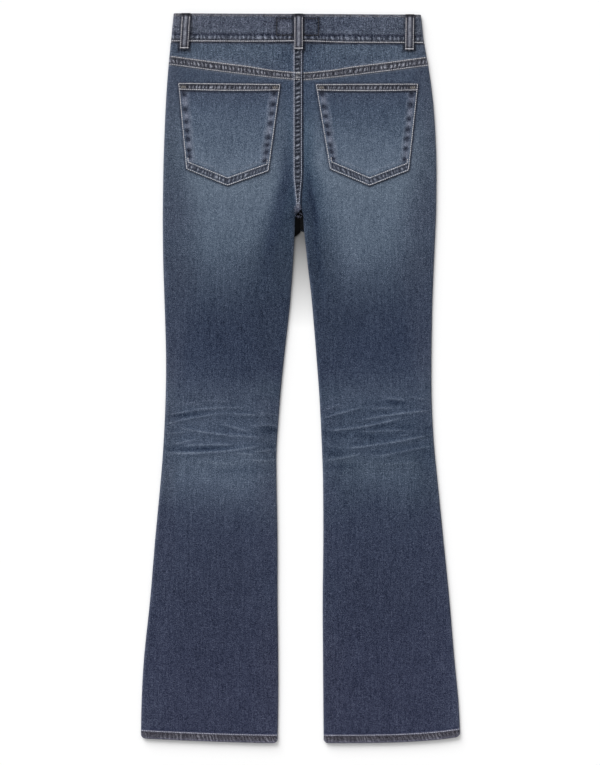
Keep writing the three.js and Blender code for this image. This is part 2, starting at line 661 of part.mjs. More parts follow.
// The closed zip behind the fly: a tape with its chain, in one extruded section.
function zip() {
  const { width, tape, chainWidth, chain, bottom, top } = ZIP;
  const section = new THREE.Shape(
    [
      [-width / 2, 0],
      [width / 2, 0],
      [width / 2, tape],
      [chainWidth / 2, tape],
      [chainWidth / 2, chain],
      [-chainWidth / 2, chain],
      [-chainWidth / 2, tape],
      [-width / 2, tape],
    ].map(([x, z]) => new THREE.Vector2(x, z)),
  );
  const geometry = new THREE.ExtrudeGeometry(section, { depth: top - bottom, bevelEnabled: false });
  geometry.rotateX(Math.PI / 2); // the section's own up becomes +Z and it runs down from its top
  return geometry.translate(FLY.edge, top - LENGTH / 2, CLOTH + SEAM_GAP);
}

// ---- the garment ---------------------------------------------------------------------------------
const cloth = (color) => new THREE.MeshStandardMaterial({ color, roughness: 0.9, metalness: 0 });
const metal = new THREE.MeshStandardMaterial({ color: COLOURS.metal, roughness: 0.4, metalness: 0.9 });
const denim = cloth(COLOURS.denim);
const wornDenim = cloth(COLOURS.wornDenim);

const jeans = new THREE.Group();
function add(name, geometry, material) {
  const mesh = new THREE.Mesh(geometry, material);
  mesh.name = name;
  jeans.add(mesh);
}

for (const [side, leg] of Object.entries(LEGS)) {
  add(`back_${side}`, backPanel(leg), denim);
  add(`yoke_${side}`, yoke(leg), denim);
  add(`front_${side}`, frontPanel(leg), denim);
  add(`back_pocket_${side}`, backPocket(leg, BACK_POCKETS[side]), wornDenim);
  add(`pocket_facing_${side}`, pocketFacing(leg), denim);
  add(`loop_front_${side}`, frontLoop(FRONT_LOOPS[side]), wornDenim);
}
add("waistband", waistband(), denim);
for (const [place, ends] of Object.entries(BACK_LOOPS)) add(`loop_back_${place}`, backLoop(ends), wornDenim);
add("button", disc(BUTTON.radius, BUTTON.thick, 0), metal);
add("zip", zip(), cloth(COLOURS.thread));

export default jeans;
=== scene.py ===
"""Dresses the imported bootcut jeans: fine cloth shells on the forms of the solids, with folds, seams,
stitching and washed denim. Lengths are in millimetres until a mesh is made. A point is (x, up, z):
x across the garment, up from the hems, z above the surface that it lies on. The distance of a point
from the middle of the garment is m, so x = side * m, with side -1 for the wearer's left leg."""
import json
import math

import bpy
import numpy as np
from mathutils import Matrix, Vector
from mathutils.bvhtree import BVHTree

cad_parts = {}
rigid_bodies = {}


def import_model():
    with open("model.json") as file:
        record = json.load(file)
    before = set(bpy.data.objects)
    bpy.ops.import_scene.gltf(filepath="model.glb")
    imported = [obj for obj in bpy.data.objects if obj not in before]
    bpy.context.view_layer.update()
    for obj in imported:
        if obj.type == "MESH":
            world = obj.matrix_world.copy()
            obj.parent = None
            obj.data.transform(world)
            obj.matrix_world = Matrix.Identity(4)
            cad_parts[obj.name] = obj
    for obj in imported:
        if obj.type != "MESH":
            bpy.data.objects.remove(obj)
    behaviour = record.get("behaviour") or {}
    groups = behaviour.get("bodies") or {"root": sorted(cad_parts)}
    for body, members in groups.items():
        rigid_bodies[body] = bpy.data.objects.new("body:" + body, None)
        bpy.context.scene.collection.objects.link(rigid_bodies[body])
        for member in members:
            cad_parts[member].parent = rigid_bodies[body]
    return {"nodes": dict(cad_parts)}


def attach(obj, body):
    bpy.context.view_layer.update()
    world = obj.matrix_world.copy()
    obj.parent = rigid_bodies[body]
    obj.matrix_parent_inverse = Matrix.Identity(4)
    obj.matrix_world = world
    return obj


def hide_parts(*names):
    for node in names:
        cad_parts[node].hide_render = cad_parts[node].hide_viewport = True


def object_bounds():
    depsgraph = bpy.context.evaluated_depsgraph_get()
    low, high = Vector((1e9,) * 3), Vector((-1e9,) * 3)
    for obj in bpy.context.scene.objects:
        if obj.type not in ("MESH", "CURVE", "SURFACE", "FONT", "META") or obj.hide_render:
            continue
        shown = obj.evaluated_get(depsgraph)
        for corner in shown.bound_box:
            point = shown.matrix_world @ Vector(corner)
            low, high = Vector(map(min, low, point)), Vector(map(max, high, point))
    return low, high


for leftover in list(bpy.data.objects):
    bpy.data.objects.remove(leftover)
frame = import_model()
CAD_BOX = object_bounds()
MM = 0.001
HEM_Y = CAD_BOX[0][1] / MM
LENGTH = (CAD_BOX[1][1] - CAD_BOX[0][1]) / MM

# ---- sizes of the cloth ---------------------------------------------------------------------------
CLOTH = 1.25
SEAM_GAP = 0.3  # between pieces that are sewn together
SKIM = 0.25  # the underside stays this far off the surface, so that its stitches lie on it
FOLD_RADIUS = 5.0
WRAP = {"outer": 12.0, "inner": 9.0}
FELL = {"width": 12.0, "raise": 0.7}
SEAT_SEAM = 2.5
CROTCH = {"top": 802.0, "floor": 788.0, "front": 760.0, "seam": 745.0, "settled": 640.0}
HEM_DEPTH = 13.0
HEM_ROW = 11.8  # the stitching's height above the edge
BAND_HEIGHT = 43.5
# The height of the folded edges, and how much more the middle of a leg has, by height up the garment.
LOFT = {"up": [0, 14, 200, 420, 640, 800, 950, 1095],
        "fold": [5.1, 4.7, 4.9, 5.1, 5.2, 5.5, 5.9, 6.1],
        "crown": [0.1, 0.5, 1.0, 1.1, 1.0, 0.8, 0.4, 0.3]}
SIDES = {"left": -1, "right": 1}


# ---- small helpers --------------------------------------------------------------------------------
def ease(value, start, end):
    """From 0 at the start to 1 at the end, smoothly."""
    t = np.clip((value - start) / (end - start), 0, 1)
    return t * t * (3 - 2 * t)


def lerp(a, b, t):
    return a + (b - a) * t


def bell(value, centre, half):
    """1 at the centre, falling to about a third at half the width."""
    return np.exp(-(((value - centre) / half) ** 2))


def wobble(value, seed):
    """Smooth noise along one direction, from -1 to 1, with a knot at each whole number."""
    knots = np.random.RandomState(seed).uniform(-1, 1, 1024)
    low = np.floor(value).astype(int)
    t = value - low
    t = t * t * (3 - 2 * t)
    return lerp(knots[low % 1024], knots[(low + 1) % 1024], t)


def clouds(x, y, seed):
    """Smooth noise over a plane, from -1 to 1, with a knot at each pair of whole numbers."""
    knots = np.random.RandomState(seed).uniform(-1, 1, (64, 256))
    i, j = np.floor(x).astype(int), np.floor(y).astype(int)
    s, t = x - i, y - j
    s, t = s * s * (3 - 2 * s), t * t * (3 - 2 * t)
    low = lerp(knots[i % 64, j % 256], knots[(i + 1) % 64, j % 256], s)
    high = lerp(knots[i % 64, (j + 1) % 256], knots[(i + 1) % 64, (j + 1) % 256], s)
    return lerp(low, high, t)


class Rope:
    """The ripple of a washed seam. Its crests lie at whole phases, and the shader draws its strokes."""

    def __init__(self, along, across, period, slant, seed):
        drift = 0.5 * wobble(along / (3.1 * period), seed) + 0.3 * wobble(along / (0.9 * period), seed + 1)
        bend = 0.16 * clouds(along / period * 1.3, across / 3.4, seed + 3)
        self.phase = (along + slant * across) / period + drift + bend
        swell = 0.34 * wobble(along / (1.15 * period), seed + 2)
        self.strength = np.clip(0.8 + swell + 0.12 * clouds(along / 2.6, across / 2.4, seed + 4), 0.3, 1.15)
        wave = 0.5 + 0.5 * np.cos(2 * math.pi * self.phase)
        self.crest = np.clip(wave**1.3 * self.strength, 0, 1)

    def marks(self, mask, lift, sink):
        """What the shader needs: the phase, and how far crests go up and hollows down in shade."""
        return np.stack(np.broadcast_arrays(self.phase, lift * mask * self.strength, sink * mask), -1)


def either(mask, marks, others):
    """Marks where the mask holds, and the others elsewhere."""
    return np.where(np.asarray(mask)[..., None], marks, others)


# ---- the outlines, read from the solids -----------------------------------------------------------
def solid(node):
    """A node's corners as (x, up, z) and its triangles."""
    thing = frame["nodes"][node]
    thing.data.calc_loop_triangles()
    points = np.array([thing.matrix_world @ v.co for v in thing.data.vertices]) / MM
    triangles = np.array([t.vertices[:] for t in thing.data.loop_triangles])
    return points - (0, HEM_Y, 0), triangles


def crossings(node, axis, places):
    """The lowest and highest reach of a node across each place on one axis, or nan where it isn't."""
    points, triangles = solid(node)
    edges = np.vstack([triangles[:, [0, 1]], triangles[:, [1, 2]], triangles[:, [2, 0]]])
    a, b = points[edges[:, 0]], points[edges[:, 1]]
    found = []
    for place in places:
        cut = (a[:, axis] - place) * (b[:, axis] - place) < 0
        if not cut.any():
            found.append((np.nan, np.nan))
            continue
        p, q = a[cut], b[cut]
        reach = lerp(p[:, 1 - axis], q[:, 1 - axis], (place - p[:, axis]) / (q[:, axis] - p[:, axis]))
        found.append((reach.min(), reach.max()))
    return np.array(found).T


UPS = np.arange(12.0, LENGTH, 4.0)


def fill(values):
    """The same values with the places that were missed filled from their neighbours."""
    good = ~np.isnan(values)
    return np.interp(np.arange(len(values)), np.flatnonzero(good), values[good])


class Leg:
    """One side of the garment, with its folds as distances from the middle."""

    def __init__(self, name):
        self.name, self.side = name, SIDES[name]
        reach = [np.abs(crossings(node, 1, UPS)[0 if self.side < 0 else 1])
                 for node in ("back_" + name, "yoke_" + name, "waistband")]
        self._outer = fill(np.nanmax(np.array(reach), axis=0))
        self._inner = np.abs(fill(crossings("back_" + name, 1, UPS)[1 if self.side < 0 else 0]))

    def outer(self, up):
        return np.interp(up, UPS, self._outer)

    def inner(self, up):
        """The inner fold where the legs are apart, and a place by the seat seam above them."""
        apart = np.interp(np.minimum(up, CROTCH["floor"] - 1), UPS, self._inner)
        return lerp(apart, 12.0, ease(up, CROTCH["top"], CROTCH["top"] + 55))


LEGS = {name: Leg(name) for name in SIDES}


YOKE_LINE = {"middle": 1000.5, "side": 1023.5, "half_width": 195.0}
FRONT_DIP = 26.0
BAND_LOW, BAND_MIDDLE = 1052.0, 1073.0


def outer_at(x, up):
    """The distance of the outer fold on the side on which x lies."""
    return np.where(np.asarray(x) < 0, LEGS["left"].outer(up), LEGS["right"].outer(up))


def top_edge(x):
    """The waistband's upper edge on the back, which sinks a little towards the right."""
    return LENGTH - 1 - np.asarray(x) / 190


def waist_seam(x):
    return top_edge(x) - BAND_HEIGHT


def yoke_low(x):
    """The lower edge of the yoke's felled seam."""
    share = np.minimum(np.abs(np.asarray(x) - SEAT_SEAM) / YOKE_LINE["half_width"], 1) ** 1.2
    return lerp(YOKE_LINE["middle"], YOKE_LINE["side"], share) - FELL["width"] / 2


def front_waist(x):
    """The waist seam on the front, which dips in the middle and meets the seam of the back at the folds."""
    share = np.minimum(np.abs(x) / (outer_at(x, BAND_LOW) - WRAP["outer"] - 1), 1)
    return waist_seam(x) - FRONT_DIP * (1 - share**2) ** 1.5


def hem_lift(leg, m, up):
    """The hem rises towards the outer fold, with a little round at its corners."""
    low, high = leg.inner(12.0), leg.outer(12.0)
    share = np.clip((m - low) / (high - low), 0, 1)
    corner = np.maximum(0, 1 - (high - m) / 6.5) + np.maximum(0, 1 - (m - low) / 6.5)
    rise = 7.2 * share**1.5 if leg.side < 0 else 9.6 * share**3.4
    return rise * (1 - ease(up, 0, 140)) + 4.6 * corner**2 * (1 - ease(up, 0, 12))


# ---- the form of the back -------------------------------------------------------------------------
# Creases worn across the backs of the knees. They run from one end to the other, with the middle
# bowed up by bow, and stand up by rise. The worn line on the crest is pale, and dark says how much
# deeper the shade is beside it, above the crease, or below it where dark is negative.
KNEE_CREASES = [
    # x0, up0, x1, up1, bow, rise, half width, dark
    (-207, 491, -112, 503.5, 2.0, 0.85, 3.0, -1.0),
    (-205, 478, -120, 494.5, 1.5, 0.9, 3.0, 0.5),
    (-190, 475, -54, 459, -3.5, 1.1, 3.2, 0.5),
    (-120, 479, -77, 467, 0.5, 0.8, 2.6, -0.5),
    (-73, 474.5, -32, 475.5, 2, 0.8, 2.8, -1.2),
    (-72, 437, -32, 441, 0, 0.6, 2.6, 0.9),
    (-192, 448, -150, 457.5, 0, 0.6, 2.6, 0.2),
    (-180, 446.5, -98, 447.5, 0.5, 0.85, 2.8, -0.8),
    (-207, 435.5, -55, 447, -4.5, 1.3, 3.4, 0.9),
    (-102, 436, -66, 432, 0, 0.65, 2.6, 0.5),
    (-77, 426, -34, 424.5, -1.5, 0.65, 2.6, 0.4),
    (-182, 511, -146, 509, 0, 0.4, 2.8, 0.3),
    (-130, 493.5, -50, 491, 1.5, 0.6, 2.8, -0.7),
    (-122, 504, -84, 503, 0, 0.45, 2.8, -0.5),
    (-150, 515, -104, 512, 0, 0.4, 2.8, -0.4),
    (-104, 490, -66, 493, 0.5, 0.35, 3.0, 0.3),
    (-203, 464, -172, 467, 0, 0.45, 2.8, 0.4),
    (-62, 497, -34, 491, 0, 0.4, 3.4, 0.2),
    (-160, 424, -104, 418, 0, 0.35, 3.4, 0.2),
    (32, 487, 96, 504.5, 0.5, 0.95, 3.0, -0.6),
    (34, 500, 62, 509, 0, 0.6, 2.6, 0.3),
    (126, 518, 160, 514, 0, 0.65, 2.8, -1.2),
    (104, 502.5, 142, 503, 0, 0.6, 2.6, -0.4),
    (85, 484, 199, 499.5, 1.5, 1.2, 3.2, 0.7),
    (33, 468.5, 157, 489, -3.5, 1.2, 3.3, -0.8),
    (83, 467, 163, 469.5, 0.5, 0.7, 2.6, -0.5),
    (146, 461, 165, 462.5, 0, 0.45, 2.4, 0.2),
    (65, 442.5, 198, 464, -3.0, 1.3, 3.4, 0.9),
    (35, 424, 91, 434, -1, 0.8, 3.0, 0.7),
    (110, 428, 203, 447, 1, 0.85, 3.2, 0.7),
    (168, 474, 200, 479, 0, 0.4, 2.8, 0.3),
    (120, 418, 180, 421, 0, 0.35, 3.4, 0.3),
    (160, 520, 196, 515, 0, 0.4, 3.0, 0.3),
]
DARK_PATCHES = [
    # x, up, half width, half height, depth
    (-168, 493, 38, 5.5, 0.10),
    (-45, 467, 16, 6, 0.16),
    (-152, 441, 48, 4.5, 0.16),
    (-115, 470, 16, 5, 0.08),
    (-88, 408, 46, 5.5, 0.10),
    (-150, 458, 40, 4, 0.06),
    (46, 461, 17, 6, 0.12),
    (51, 437, 17, 6, 0.12),
    (64, 415, 26, 6, 0.12),
    (130, 511, 32, 4, 0.14),
    (160, 475, 34, 5, 0.08),
    (140, 438, 36, 5, 0.10),
    (110, 460, 30, 5, 0.08),
]
# Broad soft folds that run down the legs, told the same way with x and up swapped.
LONG_FOLDS = [
    # up0, x0, up1, x1, bow, rise, half width
    (610, 29, 845, 13, 9, -1.25, 6.0),
    (620, 42, 832, 26, 8, 0.5, 8.0),
    (700, -72, 850, -14, -3, -0.8, 10.0),
    (560, -38, 745, -42, -3, -0.6, 12.0),
    (560, 70, 800, 60, 6, 0.35, 18.0),
    (250, -120, 420, -150, 6, 0.4, 22.0),
    (40, -150, 330, -135, -8, 0.45, 20.0),
    (60, -80, 400, -92, 6, -0.35, 22.0),
    (50, 105, 360, 90, -6, 0.45, 20.0),
    (120, 175, 420, 150, 5, -0.3, 20.0),
    (540, -150, 780, -120, 6, 0.4, 24.0),
    (560, 150, 820, 130, -6, 0.35, 22.0),
    (850, 190, 990, 188, 0, 0.35, 7.0),
    (840, -194, 1000, -190, 0, 0.35, 7.0),
]


def bowed(along, across, start, level0, end, level1, bow):
    """The share of the way along a bowed line, and the distance across from it."""
    t = np.clip((along - start) / (end - start), 0, 1)
    return t, across - (lerp(level0, level1, t) + 4 * bow * t * (1 - t))


def ridge(along, across, fold):
    """The height of one fold, steeper on its far side."""
    *line, rise, half = fold
    t, offset = bowed(along, across, *line)
    width = np.where(offset > 0, half * 0.75, half * 1.35)
    return rise * np.exp(-((offset / width) ** 2)) * np.sin(math.pi * t) ** 0.6


def knee_relief(x, up):
    """The height of the creases behind the knees."""
    return sum(ridge(x, up, crease[:-1]) for crease in KNEE_CREASES)


def knee_tone(x, up):
    """How many levels paler or darker the creases are than the cloth round them."""
    total = np.zeros(np.broadcast(x, up).shape)
    for *line, rise, _, dark in KNEE_CREASES:
        t, offset = bowed(x, up, *line)
        fade = ease(t, 0, 0.16) * (1 - ease(t, 0.84, 1))
        total += 27 * rise**0.7 * bell(offset, 0, 1.25) * fade
        total -= 10 * abs(dark) * bell(offset, math.copysign(5.4, dark), 4.2) * np.sin(math.pi * t) ** 0.8
    for patch_x, patch_up, wide, tall, depth in DARK_PATCHES:
        total -= 95 * depth * bell(x, patch_x, wide) * bell(up, patch_up, tall)
    zone = bell(up, 462, 62)
    total += zone * (4.5 * clouds(x / 21 + up / 50, up / 4.2, 17) + 3 * clouds(x / 9, up / 2.6, 18))
    return total


def long_relief(x, up):
    """The height of the folds along the legs."""
    return sum(ridge(up, x, fold) for fold in LONG_FOLDS)


def plain_top(leg, m, up):
    """The height of the back without folds, by distance from the middle."""
    fold = np.interp(up, LOFT["up"], LOFT["fold"])
    crown = np.interp(up, LOFT["up"], LOFT["crown"])
    from_outer = ease(leg.outer(up) - m, FOLD_RADIUS, 45)
    from_inner = ease(m - leg.inner(up), FOLD_RADIUS, 35)
    together = ease(up, CROTCH["front"], CROTCH["top"] + 30)
    return fold + crown * from_outer * lerp(from_inner, 1, together)


def back_relief(leg, m, up):
    """The folds of the back, calmer at the folded edges so that the outline stays."""
    x = leg.side * m
    edge = ease(leg.outer(up) - m, 1, 16) * lerp(ease(m - leg.inner(up), 1, 14), 1, ease(up, 790, 802))
    ripple = 0.14 * clouds(x / 34, up / 46, 5) + 0.05 * clouds(x / 11, up / 15, 6)
    return (0.62 * knee_relief(x, up) + 0.85 * long_relief(x, up) + ripple) * edge


# ---- dye ------------------------------------------------------------------------------------------
# The washed shade by height, as the eye sees it from 0 to 255: in the middle of a leg, at its outer
# side and at its inner side. The pale middle begins at "out" and ends at "in", as shares of the way
# from the outer fold to the inner one.
SHADES = [
    # up, middle, outer side, inner side, out, in
    (0, (53, 58, 80), (57, 63, 84), (54, 59, 81), 0.15, 0.85),
    (120, (50, 56, 78), (54, 60, 82), (53, 58, 79), 0.15, 0.85),
    (230, (50, 57, 78), (54, 61, 82), (52, 60, 81), 0.15, 0.85),
    (310, (53, 61, 82), (55, 62, 83), (55, 62, 83), 0.15, 0.88),
    (345, (56, 65, 85), (57, 65, 85), (58, 67, 86), 0.12, 0.88),
    (372, (68, 78, 96), (66, 75, 92), (65, 73, 92), 0.12, 0.86),
    (398, (79, 90, 107), (73, 82, 98), (70, 79, 96), 0.12, 0.84),
    (420, (79, 90, 106), (68, 78, 95), (68, 78, 94), 0.14, 0.84),
    (445, (72, 83, 101), (67, 78, 95), (65, 75, 92), 0.14, 0.84),
    (470, (71, 82, 100), (66, 76, 93), (64, 74, 91), 0.14, 0.84),
    (500, (69, 80, 98), (68, 77, 94), (67, 76, 94), 0.12, 0.84),
    (522, (68, 78, 96), (72, 82, 99), (64, 75, 92), 0.10, 0.8),
    (556, (54, 64, 84), (65, 73, 91), (50, 59, 79), 0.12, 0.8),
    (600, (48, 58, 79), (59, 67, 86), (49, 59, 78), 0.14, 0.75),
    (645, (50, 60, 80), (57, 66, 85), (47, 57, 76), 0.18, 0.68),
    (680, (61, 72, 90), (60, 69, 87), (49, 60, 78), 0.22, 0.68),
    (712, (76, 88, 105), (63, 72, 89), (47, 58, 75), 0.24, 0.71),
    (745, (88, 101, 117), (66, 76, 93), (48, 60, 77), 0.22, 0.76),
    (790, (94, 107, 123), (69, 78, 95), (51, 65, 83), 0.2, 0.83),
    (835, (99, 112, 127), (71, 81, 97), (55, 70, 88), 0.18, 0.88),
    (870, (98, 110, 125), (75, 86, 101), (70, 86, 103), 0.14, 0.93),
    (920, (88, 100, 116), (78, 88, 104), (76, 91, 108), 0.1, 0.93),
    (975, (69, 80, 98), (70, 79, 96), (66, 78, 97), 0.1, 0.9),
    (1012, (66, 77, 95), (68, 77, 94), (63, 76, 95), 0.1, 0.88),
    (1035, (74, 87, 104), (70, 81, 98), (62, 75, 94), 0.1, 0.88),
    (1052, (76, 88, 105), (72, 82, 98), (62, 74, 92), 0.1, 0.88),
]
BAND_SHADES = {"x": [-195, -150, -60, -30, 0, 30, 60, 150, 185],
               "red": [86, 83, 77, 70, 62, 66, 75, 79, 80],
               "green": [89, 88, 83, 74, 68, 73, 82, 86, 86],
               "blue": [101, 102, 98, 88, 84, 88, 98, 100, 97]}
SHADE_UPS = [row[0] for row in SHADES]


# Places paler or darker than the table above; the row at (18, 1044) is painted shade on the yoke under the waistband,
# beside the middle belt loop.
TONES = [
    # x, up, half width, half height, levels
    (68, 722, 26, 42, 15),
    (186, 420, 28, 75, -8),
    (240, 60, 14, 70, 8),
    (95, 945, 62, 34, -6),
    (-142, 946, 40, 20, 4),
    (-24, 884, 15, 30, -12),
    (160, 915, 14, 44, -7),
    (66, 930, 16, 26, -4),
    (37, 950, 13, 30, -9),
    (158, 945, 9, 36, -6),
    (-154, 545, 26, 22, 7),
    (-142, 490, 30, 18, 5),
    (50, 398, 20, 15, -7),
    (182, 372, 20, 26, -6),
    (-24, 823, 10, 16, -6),
    (-106, 832, 34, 14, 6),
    (-120, 1020, 40, 16, 8),
    (70, 380, 26, 40, -7),
    (85, 478, 60, 22, -5),
    (100, 250, 80, 130, -2),
    (-78, 620, 40, 90, -3),
    (18, 1044, 14, 8, -9),
    (-25, 1010, 16, 13, -4),
    (16, 866, 8, 44, -5),
]


def shade_column(up, index, channel=None):
    """One column of SHADES, or one colour channel of it, at heights between its rows."""
    values = [row[index] if channel is None else row[index][channel] for row in SHADES]
    return np.interp(up, SHADE_UPS, values)


def dye(leg, m, up):
    """The washed shade at places on the back, from 0 to 255."""
    inner = lerp(leg.inner(up), SEAT_SEAM, ease(up, 770, 830))
    u = np.clip((leg.outer(up) - m) / (leg.outer(up) - inner), 0, 1)
    u = u + 0.02 * clouds(leg.side * m / 40, up / 60, 11)
    out, inn = shade_column(up, 4), shade_column(up, 5)
    outer_part = 1 - ease(u, out * 0.35, out * 1.7)
    inner_part = ease(u, inn - (1 - inn) * 0.75, inn + (1 - inn) * 0.75)
    blur = 9 * clouds(leg.side * m / 55, up / 90, 12)
    shade = []
    for channel in range(3):
        middle = shade_column(up + blur, 1, channel)
        middle = middle * (1 + 0.05 * (-leg.side) * bell(up, 420, 70))
        value = lerp(middle, shade_column(up + blur, 2, channel), outer_part)
        shade.append(lerp(value, shade_column(up + blur, 3, channel), inner_part))
    local = sum(row[4] * bell(leg.side * m, row[0], row[2]) * bell(up, row[1], row[3]) for row in TONES)
    x = leg.side * m
    bluer = 0.7 * ease(up, 330, 400) + 1.3 * bell(x, 5, 45) * bell(up, 900, 150)
    bluer = bluer + 1.2 * ease(x, 0, 20) * bell(up, 440, 110)
    return np.stack(shade, axis=-1) + local[..., None] + bluer[..., None] * (-1, 0, 1)


# Painted shade in the creases that run down from the crotch into the thighs.
VALLEYS = [
    # ups, x at each, half width, depth at each, shade
    ((660, 705, 745, 790, 825, 848, 880), (32, 31, 24, 23, 15, 12, 8), 4.2,
     (0, 0.4, 0.5, 0.9, 0.8, 0.4, 0), (30, 44, 66)),
    ((650, 720, 775, 815, 866), (22, 21, 20, 14, 8), 8.0, (0, 0.2, 0.3, 0.3, 0), (40, 52, 74)),
    ((660, 705, 765, 805, 845, 885, 925), (-60, -52, -41, -32, -21, -20, -20), 11.0,
     (0, 0.35, 0.65, 0.62, 0.78, 0.4, 0), (38, 50, 72)),
]


def paint_valley_shade(shade, x, up):
    """Paints shade into the creases of VALLEYS."""
    for ups, xs, half, depths, dark in VALLEYS:
        shade = mix(shade, dark, np.interp(up, ups, depths) * bell(x, np.interp(up, ups, xs), half))
    return shade


def mix(shade, other, share):
    """Goes from a shade to another one by a share at each place."""
    return shade + (np.asarray(other, float) - shade) * np.clip(share, 0, 1)[..., None]


INSIDE = (128, 138, 152)  # the paler weft side
HEM_BROWN = (66, 64, 72)
LAVENDER = (112, 112, 130)


# ---- making meshes --------------------------------------------------------------------------------
def to_linear(shade):
    """The linear colour of a shade from 0 to 255."""
    value = np.clip(np.asarray(shade, float) / 255, 0, 1)
    return np.where(value <= 0.04045, value / 12.92, ((value + 0.055) / 1.055) ** 2.4)


def normals_of(grid):
    """The unit normals of a grid of points."""
    across = np.gradient(grid, axis=1)
    along = np.gradient(grid, axis=0)
    normal = np.cross(across, along)
    return normal / np.maximum(np.linalg.norm(normal, axis=-1, keepdims=True), 1e-9)


def to_blender(points):
    """Points in metres in the scene's frame."""
    return (np.asarray(points).reshape(-1, 3) + (0, HEM_Y, 0)) * MM


def make_mesh(name, points, faces, material, shade, fleck=1.0, marks=None):
    """A smooth mesh that carries its shade, the strength of its grain and the strokes for the shader."""
    mesh = bpy.data.meshes.new(name)
    mesh.from_pydata(to_blender(points).tolist(), [], faces)
    colour = np.ones((len(points), 4))
    colour[:, :3] = to_linear(shade)
    mesh.color_attributes.new("dye", "FLOAT_COLOR", "POINT").data.foreach_set("color", colour.ravel())
    flecks = np.full(len(points), fleck, float)
    mesh.attributes.new("fleck", "FLOAT", "POINT").data.foreach_set("value", flecks)
    if marks is not None:
        mesh.attributes.new("rope", "FLOAT_VECTOR", "POINT").data.foreach_set("vector", np.ravel(marks))
    mesh.shade_smooth()
    mesh.materials.append(material)
    thing = bpy.data.objects.new(name, mesh)
    bpy.context.collection.objects.link(thing)
    return thing


COARSE = 3  # the hidden side of a shell has one cell for each three by three of its outer side


def fits(count):
    """The next number of grid lines that the coarse hidden side can match."""
    return int(math.ceil((count - 1) / COARSE)) * COARSE + 1


def spread(start, end, step):
    """Evenly spaced values with about the given step between them."""
    return np.linspace(start, end, max(2, int(round(abs(end - start) / step)) + 1))


def to_fit(values):
    """The same run of values with a count that suits a shell."""
    values = np.asarray(values, float)
    places = np.linspace(0, len(values) - 1, fits(len(values)))
    return np.interp(places, np.arange(len(values)), values)


def shell(name, outer, shade, material, thick=CLOTH, fleck=1.0, inside=INSIDE, turn=False, marks=None):
    """A closed thin shell from a grid of points on its outer face."""
    if turn:
        outer, shade = outer[:, ::-1], shade[:, ::-1]
        marks = None if marks is None else marks[:, ::-1]
        inside = inside[:, ::-1] if np.ndim(inside) == 3 else inside
    rows, columns = outer.shape[:2]
    inner = (outer - normals_of(outer) * thick)[::COARSE, ::COARSE]
    inner_rows, inner_columns = inner.shape[:2]
    base = rows * columns

    def out(r, c):
        return r * columns + c

    def inn(r, c):
        return base + r * inner_columns + c

    r, c = np.meshgrid(np.arange(rows - 1), np.arange(columns - 1), indexing="ij")
    faces = np.stack([out(r, c), out(r, c + 1), out(r + 1, c + 1), out(r + 1, c)], -1).reshape(-1, 4).tolist()
    r, c = np.meshgrid(np.arange(inner_rows - 1), np.arange(inner_columns - 1), indexing="ij")
    faces += np.stack([inn(r, c), inn(r + 1, c), inn(r + 1, c + 1), inn(r, c + 1)], -1).reshape(-1, 4).tolist()
    last_row, last_column = rows - 1, columns - 1
    for k in range(inner_columns - 1):
        run = range(COARSE * k, COARSE * k + COARSE + 1)
        faces.append([out(0, i) for i in reversed(run)] + [inn(0, k), inn(0, k + 1)])
        faces.append([out(last_row, i) for i in run] + [inn(inner_rows - 1, k + 1), inn(inner_rows - 1, k)])
    for k in range(inner_rows - 1):
        run = range(COARSE * k, COARSE * k + COARSE + 1)
        faces.append([out(i, 0) for i in run] + [inn(k + 1, 0), inn(k, 0)])
        faces.append([out(i, last_column) for i in reversed(run)]
                     + [inn(k, inner_columns - 1), inn(k + 1, inner_columns - 1)])
    points = np.vstack([outer.reshape(-1, 3), inner.reshape(-1, 3)])
    if np.ndim(inside) == 3:
        hidden = inside[::COARSE, ::COARSE].reshape(-1, 3)
    else:
        hidden = np.tile(inside, (inner_rows * inner_columns, 1))
    shades = np.vstack([shade.reshape(-1, 3), hidden])
    hidden_count = inner_rows * inner_columns
    flecks = np.repeat([fleck, 0.0 if np.ndim(inside) == 3 else 1.0], [base, hidden_count])
    if marks is not None:
        marks = np.vstack([marks.reshape(-1, 3), np.zeros((hidden_count, 3))])
    return make_mesh(name, points, faces, material, shades, flecks, marks)


# ---- materials ------------------------------------------------------------------------------------
class Nodes:
    """A short way to write a shader."""

    def __init__(self, name):
        self.material = bpy.data.materials.new(name)
        self.material.use_nodes = True
        self.tree = self.material.node_tree
        self.tree.nodes.clear()
        self.out = self.tree.nodes.new("ShaderNodeOutputMaterial")

    def add(self, kind, inputs=(), **settings):
        node = self.tree.nodes.new("ShaderNode" + kind)
        for key, value in settings.items():
            setattr(node, key, value)
        for key, value in dict(inputs).items():
            if isinstance(value, bpy.types.NodeSocket):
                self.tree.links.new(value, node.inputs[key])
            else:
                node.inputs[key].default_value = value
        return node

    def noise(self, scale, detail, place, stretch=(1, 1, 1), rough=0.5):
        """Noise with the given number of features in a metre, stretched along the axes.

        Its lattice is turned, since a flat cloth at one of its levels would show almost no noise."""
        mapped = self.add("Mapping", {0: place, 2: LATTICE_TURN, 3: tuple(scale / s for s in stretch)})
        inputs = {"Vector": mapped.outputs[0], "Scale": 1.0, "Detail": detail, "Roughness": rough}
        return self.add("TexNoise", inputs).outputs[0]

    def maths(self, operation, *values):
        return self.add("Math", enumerate(values), operation=operation).outputs[0]

    def finish(self, kind, inputs):
        """Adds the shader that the material ends in."""
        self.tree.links.new(self.add(kind, inputs).outputs[0], self.out.inputs[0])
        return self.material

    def ramp(self, value, low, high, to_low=0.0, to_high=1.0):
        """A value between two limits, as a share of the way between two others."""
        return self.add("MapRange", {0: value, 1: low, 2: high, 3: to_low, 4: to_high}, clamp=True).outputs[0]


